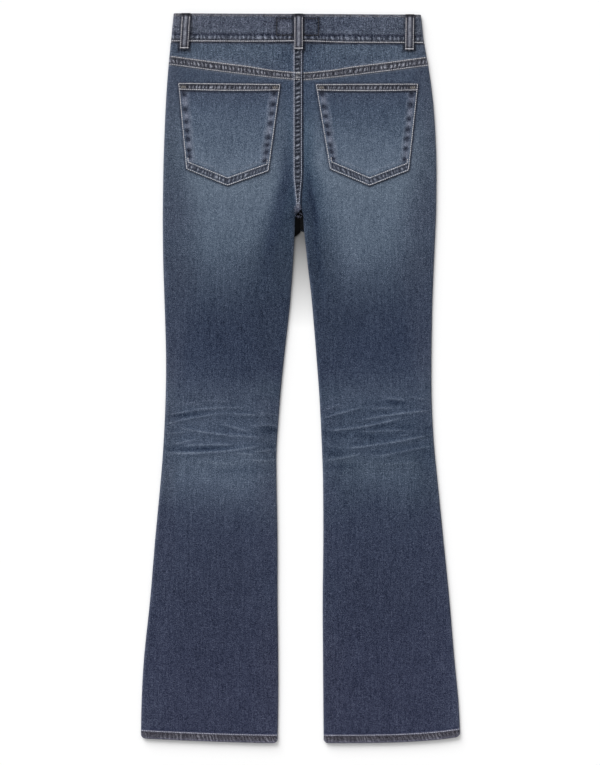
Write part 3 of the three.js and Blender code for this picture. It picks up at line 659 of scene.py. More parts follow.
LATTICE_TURN = (0.62, 0.47, 0.0)
LIGHT_GAIN = (0.79, 0.80, 0.827)  # the dyes are told as they look in the scene's light
STROKE_LEVELS = 269  # the shader's 1 on the scale of the eye, in levels of a stroke


def denim(name, yarn=1.0, bump=1.0):
    """Washed twill. Its shade is in the mesh, and the yarns, slubs and strokes come from position."""
    n = Nodes(name)
    place = n.add("TexCoord").outputs["Object"]
    shade = n.add("Attribute", attribute_name="dye").outputs["Color"]
    fleck = n.add("Attribute", attribute_name="fleck").outputs["Fac"]
    rope = n.add("SeparateXYZ", {0: n.add("Attribute", attribute_name="rope").outputs["Vector"]}).outputs
    warp = n.noise(950, 2, place, (0.8, 6.5, 1.5), 0.6)
    slub = n.noise(640, 2, place, (1, 24, 1.5), 0.5)
    weft = n.noise(950, 2, place, (4.5, 0.85, 1.5), 0.6)
    fine = n.noise(1250, 1, place, (0.95, 1.05, 1), 0.6)
    blotch = n.noise(40, 3, place)
    total = None
    for value, weight in ((warp, 0.17), (weft, 0.22), (fine, 0.92), (slub, 0.14), (blotch, 0.045)):
        part = n.maths("MULTIPLY", n.maths("SUBTRACT", value, 0.5), weight * yarn)
        total = part if total is None else n.maths("ADD", total, part)
    total = n.maths("MULTIPLY", total, fleck)
    # the strokes on a roped seam, crisp on their crests and broken up by the slubs
    wave = n.maths("ADD", n.maths("MULTIPLY", n.maths("COSINE", n.maths("MULTIPLY", rope[0], 2 * math.pi)), 0.5), 0.5)
    crest = n.maths("MULTIPLY", n.maths("POWER", wave, 1.6), n.ramp(weft, 0.35, 0.6, 0.8, 1.1))
    stroke = n.maths("SUBTRACT", n.maths("MULTIPLY", rope[1], crest),
                     n.maths("MULTIPLY", rope[2], n.maths("SUBTRACT", 1.0, crest)))
    total = n.maths("ADD", total, n.maths("MULTIPLY", stroke, 1 / STROKE_LEVELS))
    # worked out on the scale of the eye, so that dark and pale cloth have the same grain
    seen = n.add("Gamma", {0: shade, 1: 1 / 2.4}).outputs[0]
    seen = n.add("VectorMath", {0: seen, 1: total}, operation="ADD").outputs[0]
    seen = n.add("VectorMath", {0: seen, 1: (0.02, 0.02, 0.03)}, operation="MAXIMUM").outputs[0]
    tinted = n.add("VectorMath", {0: n.add("Gamma", {0: seen, 1: 2.4}).outputs[0], 1: LIGHT_GAIN},
                   operation="MULTIPLY").outputs[0]
    twill = n.add("Mapping", {0: place, 2: (0, 0, math.radians(28))})
    ribs = n.add("TexWave", {"Vector": twill.outputs[0], "Scale": 330.0, "Distortion": 1.2, "Detail": 1.0,
                             "Detail Scale": 2.0}, wave_type="BANDS", bands_direction="X").outputs["Fac"]
    height = n.maths("ADD", n.maths("MULTIPLY", ribs, 0.4), n.maths("ADD", warp, weft))
    bumped = n.add("Bump", {"Strength": 0.25 * bump, "Distance": 0.0005, "Height": height})
    return n.finish("BsdfPrincipled", {"Base Color": tinted, "Roughness": n.ramp(fine, 0.3, 0.7, 0.8, 0.95),
                                       "Specular IOR Level": 0.12, "Sheen Weight": 0.03, "Sheen Roughness": 0.5,
                                       "Normal": bumped.outputs[0]})


def thread(name, colour, spread_of=0.35):
    """Twisted thread, paler and darker along its way."""
    n = Nodes(name)
    place = n.add("TexCoord").outputs["Object"]
    tone = n.ramp(n.noise(260, 2, place), 0.3, 0.7, 1 - spread_of, 1 + spread_of * 0.6)
    base = n.add("VectorMath", {0: tuple(to_linear(colour)), "Scale": tone}, operation="SCALE").outputs[0]
    ply = n.add("TexWave", {"Vector": place, "Scale": 900.0}, bands_direction="DIAGONAL").outputs["Fac"]
    bumped = n.add("Bump", {"Strength": 0.3, "Distance": 0.0002, "Height": ply})
    return n.finish("BsdfPrincipled", {"Base Color": base, "Roughness": 0.7, "Sheen Weight": 0.1,
                                       "Normal": bumped.outputs[0]})


def metal(name, colour):
    """Worn metal."""
    n = Nodes(name)
    place = n.add("TexCoord").outputs["Object"]
    worn = n.noise(900, 3, place)
    tone = n.ramp(worn, 0.35, 0.7, 0.7, 1.1)
    base = n.add("VectorMath", {0: tuple(to_linear(colour)), "Scale": tone}, operation="SCALE").outputs[0]
    return n.finish("BsdfPrincipled", {"Base Color": base, "Metallic": 1.0,
                                       "Roughness": n.ramp(worn, 0.3, 0.7, 0.3, 0.5)})


DENIM = denim("washed_denim")
SEAM_DENIM = denim("seam_denim", 1.1, 1.2)
BEIGE = thread("beige_thread", (200, 199, 205))
BROWNISH = thread("worn_thread", (136, 131, 128), 0.5)
PALE = thread("lavender_thread", (176, 178, 194))
DUSTY = thread("frayed_thread", (88, 92, 112), 0.6)
TONAL = thread("tonal_thread", (16, 18, 28), 0.2)
BUTTON_METAL = metal("button_metal", (150, 132, 104))
ZIP_CLOTH = denim("zip_tape", 0.35, 0.5)

# ---- the back panels and yokes --------------------------------------------------------------------
WRAP_STEPS = 5
ARC_STEPS = 8
EDGE_STEPS = 16
BACK_STEP, BACK_TOP = 1.5, 1010.0


def half_height(up):
    """Half the height of the folded edges."""
    return np.interp(up, LOFT["up"], LOFT["fold"]) / 2


def inner_fold(leg, up):
    """The length round a leg's inner fold, the length at which the back's cloth ends, and the place at
    a distance along its outer face."""
    start = leg.inner(up) + FOLD_RADIUS
    half = half_height(up)
    arc = math.pi * math.sqrt((FOLD_RADIUS**2 + half**2) / 2)

    def place(distance):
        angle = math.pi / 2 - math.pi * np.minimum(distance, arc) / arc
        m = start - FOLD_RADIUS * np.cos(angle) + np.maximum(distance - arc, 0)
        return m, half + half * np.sin(angle)

    return arc, lerp(arc + WRAP["inner"], arc * 0.63, ease(up, CROTCH["settled"], CROTCH["seam"])), place


def seat_points(leg, up):
    """The last points of a section that reaches the seat seam, with the raised seam on the left."""
    start = float(leg.inner(up) + FOLD_RADIUS)
    narrow = ease(up, CROTCH["top"] + 55, CROTCH["top"])
    seam = SEAT_SEAM - 1.5 * narrow
    band = FELL["width"] - 4.5 * narrow
    m = np.linspace(start, leg.side * seam + 0.15, EDGE_STEPS + 1)[1:]
    left = 1 if leg.side < 0 else 0
    rise = FELL["raise"] * left * (1 - ease(m, band - seam - 0.2, band - seam + 1.3))
    return m, plain_top(leg, np.maximum(m, 0), up), rise


def inner_edge(leg, up):
    """The last points of a section: round the inner fold, or to the seat seam above the crotch."""
    _, end, place = inner_fold(leg, up)
    m, z = place(np.linspace(0, end, EDGE_STEPS + 1)[1:])
    share = float(ease(up, CROTCH["floor"], CROTCH["top"]))
    if share == 0:
        return m, z
    seat_m, seat_z, rise = seat_points(leg, up)
    return lerp(m, seat_m, share), lerp(z, seat_z, share) + rise * share


def section(leg, up, columns):
    """One section of the back at a height: distances and heights from the outseam to the inner edge."""
    half = half_height(up)
    centre = leg.outer(up) - FOLD_RADIUS
    angle = np.linspace(-math.pi / 2, math.pi / 2, ARC_STEPS + 1)
    wrap = np.linspace(leg.outer(up) - WRAP["outer"], centre, WRAP_STEPS + 1)[:-1]
    top = np.linspace(centre, leg.inner(up) + FOLD_RADIUS, columns + 1)[1:]
    edge_m, edge_z = inner_edge(leg, up)
    m = np.concatenate([wrap, centre + FOLD_RADIUS * np.cos(angle), top, edge_m])
    z = np.concatenate([np.zeros(WRAP_STEPS), half + half * np.sin(angle), plain_top(leg, top, up), edge_z])
    return m, np.maximum(z, SKIM)


def column_count(leg, up, step):
    """How many columns the top of a section needs, so that all of its points suit a shell."""
    others = WRAP_STEPS + ARC_STEPS + 1 + EDGE_STEPS
    return fits(int((leg.outer(up) - leg.inner(up)) / step) + others) - others


def stretched(up, top, edge):
    """Heights that are moved near the top of a panel, so that it ends at its seam."""
    return up + (edge - SEAM_GAP - top) * ease(up, top - 110, top)


def follow(leg, m, start, end):
    """Distances at one height that keep their place beside the outseam at another height."""
    return m + (leg.outer(end) - leg.outer(start)) * ease(m, 40, leg.outer(start) - WRAP["outer"])


def pocket_corners(node):
    """The corners of a patch pocket, found as the furthest points of its solid in five directions."""
    points = solid(node)[0]
    out = -1 if node.endswith("left") else 1
    ways = {"top_outer": (out, 1.6), "top_inner": (-out, 1.6), "low_inner": (-0.77 * out, -0.64),
            "low_outer": (0.77 * out, -0.64), "point": (0, -1)}
    return {name: points[np.argmax(points[:, :2] @ np.array(way))][:2] for name, way in ways.items()}


POCKETS = {name: pocket_corners("back_pocket_" + name) for name in SIDES}
# The places of the belt loops on the back: x at the top and at the foot.
BACK_LOOPS = {"left": (-171.7, -174.7), "centre": (-3.0, -3.0), "right": (163.7, 163.2)}


def hem_paint(shade, relief, x, depth):
    """Turned-up hem: dark brown-grey between pale ripples, under a lavender line of stitching."""
    band = 1 - ease(depth, HEM_DEPTH - 0.9, HEM_DEPTH + 0.3)
    # the ripples lean more towards the inner side of the left leg and the middle of the right one
    leaning = 0.12 + 0.5 * np.clip(np.where(x < 0, (x + 200) / 150, 1.2 - np.abs(x - 150) / 90), 0, 1)
    rope = Rope(x, depth, 5.6, leaning, 31)
    patchy = 0.75 + 0.4 * clouds(x / 13, depth / 9, 36)
    shade = mix(shade, HEM_BROWN, 0.9 * band)
    shade = mix(shade, (44, 41, 47), 0.5 * band * bell(depth, 9.0, 1.8))
    shade = mix(shade, LAVENDER, 0.7 * bell(depth, 0.2, 2.2))
    shade = mix(shade, (106, 106, 122), 0.85 * bell(depth, HEM_ROW, 1.25))
    shade = mix(shade, (38, 44, 68), 0.65 * bell(depth, HEM_DEPTH + 1.9, 1.7))
    mask = ease(depth, 0.3, 1.6) * (1 - ease(depth, HEM_ROW - 2.4, HEM_ROW - 0.9))
    relief = relief + band * (0.45 * rope.crest - 0.1) * ease(depth, 0, 2)
    return shade, relief, rope.marks(mask * patchy, 58, 2)


def seat_seam_paint(shade, relief, x, up, raised):
    """The seam down the middle of the back: two rows of stitching with pale rungs between."""
    narrow = ease(up, CROTCH["top"] + 55, CROTCH["top"])
    low = -FELL["width"] + SEAT_SEAM - 0.8 + 4.0 * narrow
    high = SEAT_SEAM - 3.6 * narrow
    present = ease(up, 794, 801)
    inside = ease(x, low + 0.6, low + 1.8) * (1 - ease(x, high - 1.9, high - 0.8)) * present
    rope = Rope(up, x, 6.7, -0.22, 47)
    shade = mix(shade, (38, 42, 52), 0.95 * inside)
    shade = mix(shade, (104, 113, 130), 0.4 * bell(x, low - 1.3, 1.4) * present)
    shade = mix(shade, (112, 118, 130), 0.85 * bell(x, low + 0.5, 1.0) * present)
    shade = mix(shade, (106, 111, 123), 0.6 * bell(x, high - 1.2, 0.8) * present)
    # painted shadow beside the right row of stitching, and painted shade at the top of the crotch slot under the frayed
    # ends
    shade = mix(shade, (28, 33, 47), 0.8 * bell(x, high + 1.2, 1.2) * ease(up, 790, 800))
    shade = mix(shade, (26, 29, 40), 0.85 * bell(up, 797, 6) * bell(x, -4, 6))
    if raised:
        relief = relief + inside * (0.5 * rope.crest - 0.15)
    return shade, relief, rope.marks(bell(x, (low + high) / 2 - 0.3, 3.2) * inside,
                                     114 + 34 * bell(up, 893, 16) - 46 * bell(up, 838, 16) - 20 * narrow, 10)


def pocket_distances(corners, x, up):
    """Distances in from the edges of a pocket: its top, its outer and inner sides, and its two foot edges."""
    ring = [corners[k] for k in ("top_outer", "top_inner", "low_inner", "point", "low_outer")]
    turn = 1 if corners["top_outer"][0] < corners["top_inner"][0] else -1
    found = []
    for a, b in zip(ring, ring[1:] + ring[:1]):
        way = (np.array(b) - a) / np.linalg.norm(np.array(b) - a)
        found.append(turn * (way[1] * (x - a[0]) - way[0] * (up - a[1])))
    top, inner_side, foot_inner, foot_outer, outer_side = found
    return top, np.minimum(inner_side, outer_side), np.minimum(foot_inner, foot_outer)


def back_grid(leg):
    """The points, shades and strokes of a back panel."""
    ups = np.concatenate([spread(0, 16, 1.2), spread(17.5, 403, 3.7), spread(405, 522, 1.35), spread(525, 786, 3.4),
                          spread(788, BACK_TOP, 1.7)])
    columns = column_count(leg, 450, BACK_STEP)
    points, shades, marks = [], [], []
    for up in to_fit(ups):
        m, z = section(leg, up, columns)
        height = stretched(up, BACK_TOP, yoke_low(leg.side * m)) + hem_lift(leg, m, up)
        m = follow(leg, m, up, height)
        x = leg.side * m
        on_top = z > half_height(up)
        depth = height - hem_lift(leg, m, up)
        relief = np.where(on_top, back_relief(leg, m, height), 0)
        shade = dye(leg, m, height) + (knee_tone(x, height) * on_top)[:, None] * (1.04, 1.0, 0.94)
        shade = paint_valley_shade(shade, x, height)
        # painted shade: a thin dark line on the panel round the outside of each pocket
        around = -np.minimum.reduce(pocket_distances(POCKETS[leg.name], x, height))
        shade = mix(shade, (42, 48, 64), 0.65 * bell(around, 1.1, 1.2) * on_top)
        shade = mix(shade, (122, 128, 139), 0.75 * bell(yoke_low(x) - height, 0.3, 1.7) * on_top)
        relief = relief + 0.4 * (depth < HEM_DEPTH) * on_top
        shade, relief, hem_marks = hem_paint(shade, relief, x, depth)
        shade, relief, seat_marks = seat_seam_paint(shade, relief, x, height, leg.side < 0)
        # the folded edges are rubbed pale, most of all from the knee up
        rim = np.maximum(bell(m, leg.outer(up), 3.2), bell(m, leg.inner(up), 2.6) * (up < 786))
        shade = mix(shade, (112, 118, 132), rim * (0.32 + 0.12 * clouds(x / 3, up / 14, 15)))
        # painted shade low on the seat, deepening towards the crotch
        crotch = bell(up, 788, 22) * bell(m, 5, 12)
        shade = mix(shade, (34, 44, 60), crotch * 0.4)
        points.append(np.stack([x, height, z + np.where(on_top, relief, 0)], -1))
        shades.append(shade)
        marks.append(either(depth < 100, hem_marks, seat_marks) * on_top[:, None])
    return np.array(points), np.array(shades), np.array(marks)


YOKE_STEP, YOKE_ROWS = 1.0, 48
YOKE_FROM = 1035.0  # its section is taken here, and follows the outseam from there
YOKE_FELL = 14.4
YOKE_LOW_ROW, YOKE_HIGH_ROW = 0.55, 12.7


def yoke_high_row(x):
    """The upper row of stitching, which comes closer to the lower one by the middle of the back."""
    return lerp(10.5, 12.3, ease(np.abs(x), 40, 85))


def yoke_grid(leg):
    """The points, shades and strokes of a yoke."""
    m0, z0 = section(leg, YOKE_FROM, column_count(leg, YOKE_FROM, YOKE_STEP))
    on_top = z0 >= half_height(YOKE_FROM)
    low = yoke_low(leg.side * m0)
    high = np.where(on_top, waist_seam(leg.side * m0), front_waist(leg.side * m0)) - SEAM_GAP
    points, shades, marks = [], [], []
    for share in to_fit(spread(0, 1, 1 / YOKE_ROWS)):
        height = lerp(low, high, share)
        m = follow(leg, m0, YOKE_FROM, height)
        x = leg.side * m
        relief = np.where(on_top, back_relief(leg, m, height), 0)
        shade = dye(leg, m, height)
        # the seam's paint follows its upper row of stitching
        depth = (height - low) * YOKE_HIGH_ROW / yoke_high_row(x)
        band = (1 - ease(depth, YOKE_FELL - 0.9, YOKE_FELL + 0.3)) * ease(depth, -0.1, 0.8)
        inside = ease(depth, 2.0, 3.2) * (1 - ease(depth, YOKE_FELL - 3.8, YOKE_FELL - 2.6))
        rope = Rope(x, depth, 5.8, -0.15 * leg.side, 61)
        relief = relief + FELL["raise"] * band + inside * (0.5 * rope.crest - 0.15)
        shade = mix(shade, (64, 64, 72), 0.85 * band)
        shade = mix(shade, (40, 41, 49), 0.55 * band * (bell(depth, 3.3, 1.2) + bell(depth, 9.9, 1.3)))
        shade = mix(shade, (116, 121, 131), 0.85 * bell(depth, 0.3, 1.6))
        shade = mix(shade, (112, 110, 112), 0.8 * bell(depth, YOKE_HIGH_ROW, 1.1))
        halo = bell(depth, 15.6, 1.9) * bell(np.abs(x), 105, 55) * (0.8 + 0.3 * clouds(x / 6, depth, 62))
        shade = mix(shade, (120, 128, 142), 0.55 * halo)
        # faint creases fan out from the middle of the waist
        fan = bell(np.abs(x), 30, 22) * bell(height, 1036, 12)
        shade = shade + (9 * fan * clouds((x + 0.8 * height) / 4.5, (x - height) / 26, 64))[:, None]
        # the waistband's edge and the belt loops shade the top of the yoke
        shade = mix(shade, (36, 40, 54), (0.75 + 0.2 * (x > 30)) * bell(high - height, 0, 2.0) * on_top)
        for low_x in (place[1] for place in BACK_LOOPS.values()):
            beside = np.maximum(bell(np.abs(x - low_x), 8.2, 2.0), bell(x, low_x, 8) * bell(height, 1038.5, 1.6))
            shade = mix(shade, (20, 23, 34), 0.75 * beside * ease(height, 1034, 1040) * on_top)
        shade, relief, seat_marks = seat_seam_paint(shade, relief, x, height, leg.side < 0)
        crossing = bell(x, -4, 5) * band
        shade = mix(shade, (150, 148, 146), 0.9 * crossing * (0.5 + 0.6 * clouds(x / 1.9, depth / 1.9, 65)))
        rim = bell(m, leg.outer(height), 3.2)
        shade = mix(shade, (116, 120, 132), rim * 0.35)
        points.append(np.stack([x, height, z0 + np.where(on_top, relief, 0)], -1))
        shades.append(shade)
        yoke_marks = rope.marks(bell(depth, 6.6, 3.0) * inside * ease(np.abs(x + 4), 7, 9.5), 104, 14)
        marks.append(either(np.abs(x + 4) < 7, seat_marks, yoke_marks) * on_top[:, None])
    return np.array(points), np.array(shades), np.array(marks)


pieces = {}


def keep(thing, *nodes, slot="denim"):
    """Has a piece ride on the garment, in place of the named nodes."""
    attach(thing, "root")
    if nodes:
        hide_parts(*nodes)
    pieces[thing.name] = thing
    return thing


for name, leg in LEGS.items():
    grid, shade, marks = back_grid(leg)
    thing = shell("back_panel_" + name, grid, shade, DENIM, marks=marks, turn=leg.side > 0)
    keep(thing, "back_" + name)
    grid, shade, marks = yoke_grid(leg)
    thing = shell("back_yoke_" + name, grid, shade, DENIM, fleck=1.4, marks=marks, turn=leg.side > 0)
    keep(thing, "yoke_" + name)


# ---- the fronts, flat on the surface --------------------------------------------------------------
FRONT_STEP, FRONT_TOP, FRONT_COLUMNS = 5.0, 1040.0, 45
SCOOP = {"low": 968.0, "inner": 92.0}


def front_edge(leg, up):
    """The front panel's outer edge: the outseam, then the curved mouth of the pocket."""
    outseam = leg.outer(up) - WRAP["outer"] - SEAM_GAP
    t = np.clip((up - SCOOP["low"]) / (FRONT_TOP - SCOOP["low"]), 0, 1)
    mouth = SCOOP["inner"] + (outseam - SCOOP["inner"]) * (1 - np.sin(math.pi / 2 * t)) ** 0.8
    return np.where(up <= SCOOP["low"], outseam, mouth)


def front_grid(leg):
    """The points and shades of a front panel, whose outer face lies down."""
    ups = to_fit(np.concatenate([spread(0, 14, 2), spread(18, 745, FRONT_STEP), spread(747, 777, 1.5),
                                 spread(781, 960, FRONT_STEP), spread(963, FRONT_TOP, 2.6)]))
    parted = CROTCH["front"] + (7.0 if leg.side > 0 else 0.0)
    columns = fits(FRONT_COLUMNS)
    points, shades = [], []
    for up in ups:
        outseam = front_edge(leg, up)
        if up >= parted:
            # one front laps over the other behind the fly
            slant = 6.5 * (1 - ease(up, CROTCH["front"], 768)) if leg.side < 0 else 0.0
            end = (-leg.side * 3.0 if up > 888 else 0.0) + 0.15 + slant
            m = np.linspace(outseam, end, columns)
            z = np.full(columns, SKIM)
        else:
            arc, edge, place = inner_fold(leg, up)
            edge += SEAM_GAP + ease(up, 728, 757)
            tail = max(arc, edge) + 6
            tail_m, tail_z = place(np.linspace(tail, edge, 7))
            m = np.concatenate([np.linspace(outseam, tail_m[0], columns - 6)[:-1], tail_m])
            z = np.maximum(np.concatenate([np.zeros(columns - 7), tail_z]), SKIM)
        height = stretched(up, FRONT_TOP, front_waist(leg.side * m)) + hem_lift(leg, m, up)
        m = follow(leg, m, up, height)
        shade = dye(leg, np.maximum(m, 0), height)
        whisker = bell(height, 905, 50) * bell(m, 110, 60) * clouds(m / 30 + height / 40, height / 9, 21)
        shade = shade * (1 + 0.12 * whisker)[:, None]
        points.append(np.stack([leg.side * m, height, z], -1))
        shades.append(shade)
    return np.array(points), np.array(shades)


for name, leg in LEGS.items():
    grid, shade = front_grid(leg)
    # the inner face is painted in deep shade at the slot below the seat seam
    inside = np.ones(grid.shape) * INSIDE
    slot_painted_shade = ease(grid[..., 1], 740, 752) * (1 - ease(grid[..., 1], 800, 815)) * bell(grid[..., 0], -2, 16)
    inside = mix(inside, (0, 0, 2), 2.4 * slot_painted_shade)
    thing = shell("front_panel_" + name, grid, shade, DENIM, inside=inside, turn=leg.side < 0)
    keep(thing, "front_" + name)

# ---- the waistband --------------------------------------------------------------------------------
BAND_THICK = 2.0
BAND_ACROSS, BAND_UP = 1.1, 1.2  # its grid
# a blank stitched rectangle at the middle of the back, where the band begins at the height "from"
LABEL = {"x": (-36.0, 27.0), "up": (1062.0, 1087.0), "from": 1050.5}
LAP = {"over": 22.0, "under": -14.0, "ramp": (25.0, 60.0)}
FRONT_LOOP_X = 100.0
LOOP = {"width": 13.3, "thick": 1.5, "length": 54.0, "stand": 1.3}
BUTTON = {"x": 8.0, "radius": 8.5, "thick": 1.2}


def seam_line(x):
    """From the band's lower edge to its one row of stitching."""
    return 2.1 + 1.0 * bell(x, -3, 32) - 0.7 * ease(x, 25, 70)


def band_rise(x):
    """The height of the band's outer face on the back."""
    return np.interp(1080, LOFT["up"], LOFT["fold"]) + 0.4 + 0.6 * (1 - ease(np.abs(x - 5), 32, 80))


def front_lift(x):
    """The front of the band passes over the belt loops that lie under it."""
    near = np.minimum(np.abs(x - FRONT_LOOP_X), np.abs(x + FRONT_LOOP_X))
    return (1 - ease(near, LOOP["width"] / 2 + 1, 26)) * (LOOP["thick"] + 0.3)


def band_path():
    """The band's outer face from above: under lap, right front, right fold, back, left fold, left front."""
    left, right = (LEGS[name].outer(BAND_MIDDLE) - FOLD_RADIUS for name in LEGS)
    under = spread(LAP["under"], right, 4)
    lapped = (BAND_THICK + 0.3) * (1 - ease(under, *LAP["ramp"]))
    parts = [np.stack([under, lapped + front_lift(under), under * 0], -1)]
    angle = np.linspace(-math.pi / 2, math.pi / 2, 10)[1:]
    half = band_rise(200) / 2
    parts.append(np.stack([right + FOLD_RADIUS * np.cos(angle), half + half * np.sin(angle), angle * 0 + 1], -1))
    back = spread(right, -left, BAND_ACROSS)[1:]
    parts.append(np.stack([back, band_rise(back), back * 0 + 1], -1))
    parts.append(np.stack([-left - FOLD_RADIUS * np.cos(angle), half - half * np.sin(angle), angle * 0 + 1], -1))
    over = np.concatenate([spread(-left, -6, 4)[1:], spread(-6, LAP["over"], 1.4)[1:]])
    parts.append(np.stack([over, front_lift(over), over * 0], -1))
    path = np.vstack(parts)
    return np.stack([to_fit(path[:, i]) for i in range(3)], -1)


def band_paint(x, h, back):
    """Shade, relief and strokes of the waistband at a height h above its lower edge."""
    shade = np.stack([np.interp(x, BAND_SHADES["x"], BAND_SHADES[c]) for c in ("red", "green", "blue")], -1)
    shade = shade + np.array([-5.5, -4.5, -2.5]) * np.ones_like(h)[..., None]
    relief = 0.12 * clouds(x / 26, h / 14, 71) + 0.05 * clouds(x / 9, h / 7, 72)
    shade = shade + (5 * clouds(x / 24, h / 6, 73) + 5 * clouds(x / 9, h / 2.4, 74))[..., None]
    # worn strokes run up from the stitching, and sink a little towards the right
    lower = ease(x, -60, 120)
    line = seam_line(x)
    dark = bell(h, lerp(11.9, 11.2, lower), 2.3)
    pale_h = lerp(7.6, 6.7, lower)
    rope = Rope(x, h, 7.4, 0.12, 75)
    relief = relief + 0.38 * (rope.crest - 0.4) * bell(h, 7, 5) - 0.15 * dark
    shade = mix(shade, (92, 100, 114), 0.4 * bell(h, lerp(18, 16, lower), 2.6))
    shade = mix(shade, (34, 40, 57), 0.92 * dark)
    shade = mix(shade, (90, 96, 109), 0.8 * bell(h, pale_h, 2.0))
    stroke = bell(h, pale_h + 0.5, 3.2) * ease(h, line + 1.4, line + 3.0)
    marks = rope.marks(stroke * back, 60, 28)
    # the stitching pulls the cloth down into a narrow channel, with painted shade in it and along the band's lower edge
    middle = bell(x, -5, 34)
    shade = mix(shade, (36, 37, 45), bell(h, line + 2.4, 1.2) * (0.75 + 0.2 * middle) + bell(h, 0.1, 0.7) * 0.7)
    shade = mix(shade, (110, 108, 110), bell(h, line, 1.0) * 0.6)
    relief = relief - 0.35 * bell(h, line, 1.0)
    # the upper edge is worn brown-grey in short dashes
    top = BAND_HEIGHT - h
    worn = 0.5 + 0.5 * clouds(x / 2.2, top / 3, 77)
    shade = mix(shade, (84, 80, 80), bell(top, 0, 1.0) * 0.7)
    shade = mix(shade, (118, 112, 110), bell(top, 2.8, 1.6) * (0.35 + 0.45 * worn))
    # the blank rectangle, stitched in dark dashes
    across = np.minimum(np.abs(x - LABEL["x"][0]), np.abs(x - LABEL["x"][1]))
    up = h + LABEL["from"]
    upright = np.minimum(np.abs(up - LABEL["up"][0]), np.abs(up - LABEL["up"][1]))
    in_x = (x > LABEL["x"][0] - 1) & (x < LABEL["x"][1] + 1)
    in_up = (up > LABEL["up"][0] - 1) & (up < LABEL["up"][1] + 1)
    inside = in_x & in_up & (back > 0.5)
    shade = mix(shade, (94, 99, 114), 0.55 * inside * (x < 0) * bell(h, 21, 10))
    dashes_up, dashes_across = (0.72 + 0.28 * np.cos(2 * math.pi * along / 4.4) for along in (h, x))
    channel = np.maximum(bell(across, 0, 2.4) * in_up * dashes_up, bell(upright, 0, 2.2) * in_x * dashes_across) * back
    shade = mix(shade, (14, 18, 32), 0.95 * channel)
    # each belt loop shades the band beside it
    for loop_x in (place[0] for place in BACK_LOOPS.values()):
        beside = bell(np.abs(x - loop_x), 8.0, 1.5) * back * (1.0 if abs(loop_x) < 20 else 0.6)
        shade = mix(shade, (18, 20, 30), 0.8 * beside)
    relief = relief - 0.3 * channel
    return shade, relief, marks


def waistband():
    """The points, shades and strokes of the waistband."""
    path = band_path()
    h = to_fit(spread(0, BAND_HEIGHT, BAND_UP))[:, None]
    x0, z0, back = path[:, 0][None], path[:, 1][None], path[:, 2][None]
    low = np.where(back > 0.5, waist_seam(x0), front_waist(x0))
    up = low + h
    x = x0 + (outer_at(x0, up) - outer_at(x0, BAND_MIDDLE)) * ease(np.abs(x0), 90, 170) * np.sign(x0)
    z = np.broadcast_to(z0, up.shape).copy()
    reach = np.hypot(x - BUTTON["x"], h - BAND_HEIGHT / 2)
    z += 1.0 * (1 - ease(reach, BUTTON["radius"] + 0.3, BUTTON["radius"] + 2.2)) * (back < 0.5) * (z0 < 0.5)
    base = np.stack([x, up, np.maximum(z, SKIM)], -1)
    shade, relief, marks = band_paint(x, h, back * np.ones_like(x))
    rounded = np.maximum(0, 1 - np.minimum(h, BAND_HEIGHT - h) / 1.6) ** 2
    relief = np.where(back > 0.5, relief - 0.55 * rounded, -0.4 * rounded)
    rim = np.maximum.reduce([bell(x, leg.side * leg.outer(BAND_MIDDLE), 3.0) for leg in LEGS.values()])
    shade = mix(shade, (118, 120, 130), rim * 0.35)
    return base - normals_of(base) * relief[..., None], shade, marks


grid, shade, marks = waistband()
thing = shell("waistband_cloth", grid, shade, SEAM_DENIM, thick=BAND_THICK, turn=True, fleck=1.4, marks=marks)
keep(thing, "waistband")

# ---- pockets on the back --------------------------------------------------------------------------
POCKET_STEP = {"across": 0.8, "down": 1.05}
MOUTH_ROWS = {"outer": 0.6, "inner": 1.6, "low": 9.2, "sag": 1.3}
SIDE_ROW = 0.9
FOOT_ROW = 10.8  # the second row of stitching along the foot
ALLOWANCE = 14.3  # the turned-in edge, which shows through as a pale line
# Heights of the dark hollows down the two sides of each pocket, and how far in they lie.
HOLLOWS = {
    ("left", "outer"): (6.5, (973, 950, 932, 918, 906, 889, 880)),
    ("left", "inner"): (7.0, (974, 958, 944, 929, 908, 897, 886, 873)),
    ("right", "outer"): (8.4, (973, 957, 936, 920, 906, 891, 875)),
    ("right", "inner"): (6.4, (974, 954, 940, 926, 914, 897, 887, 876)),
}


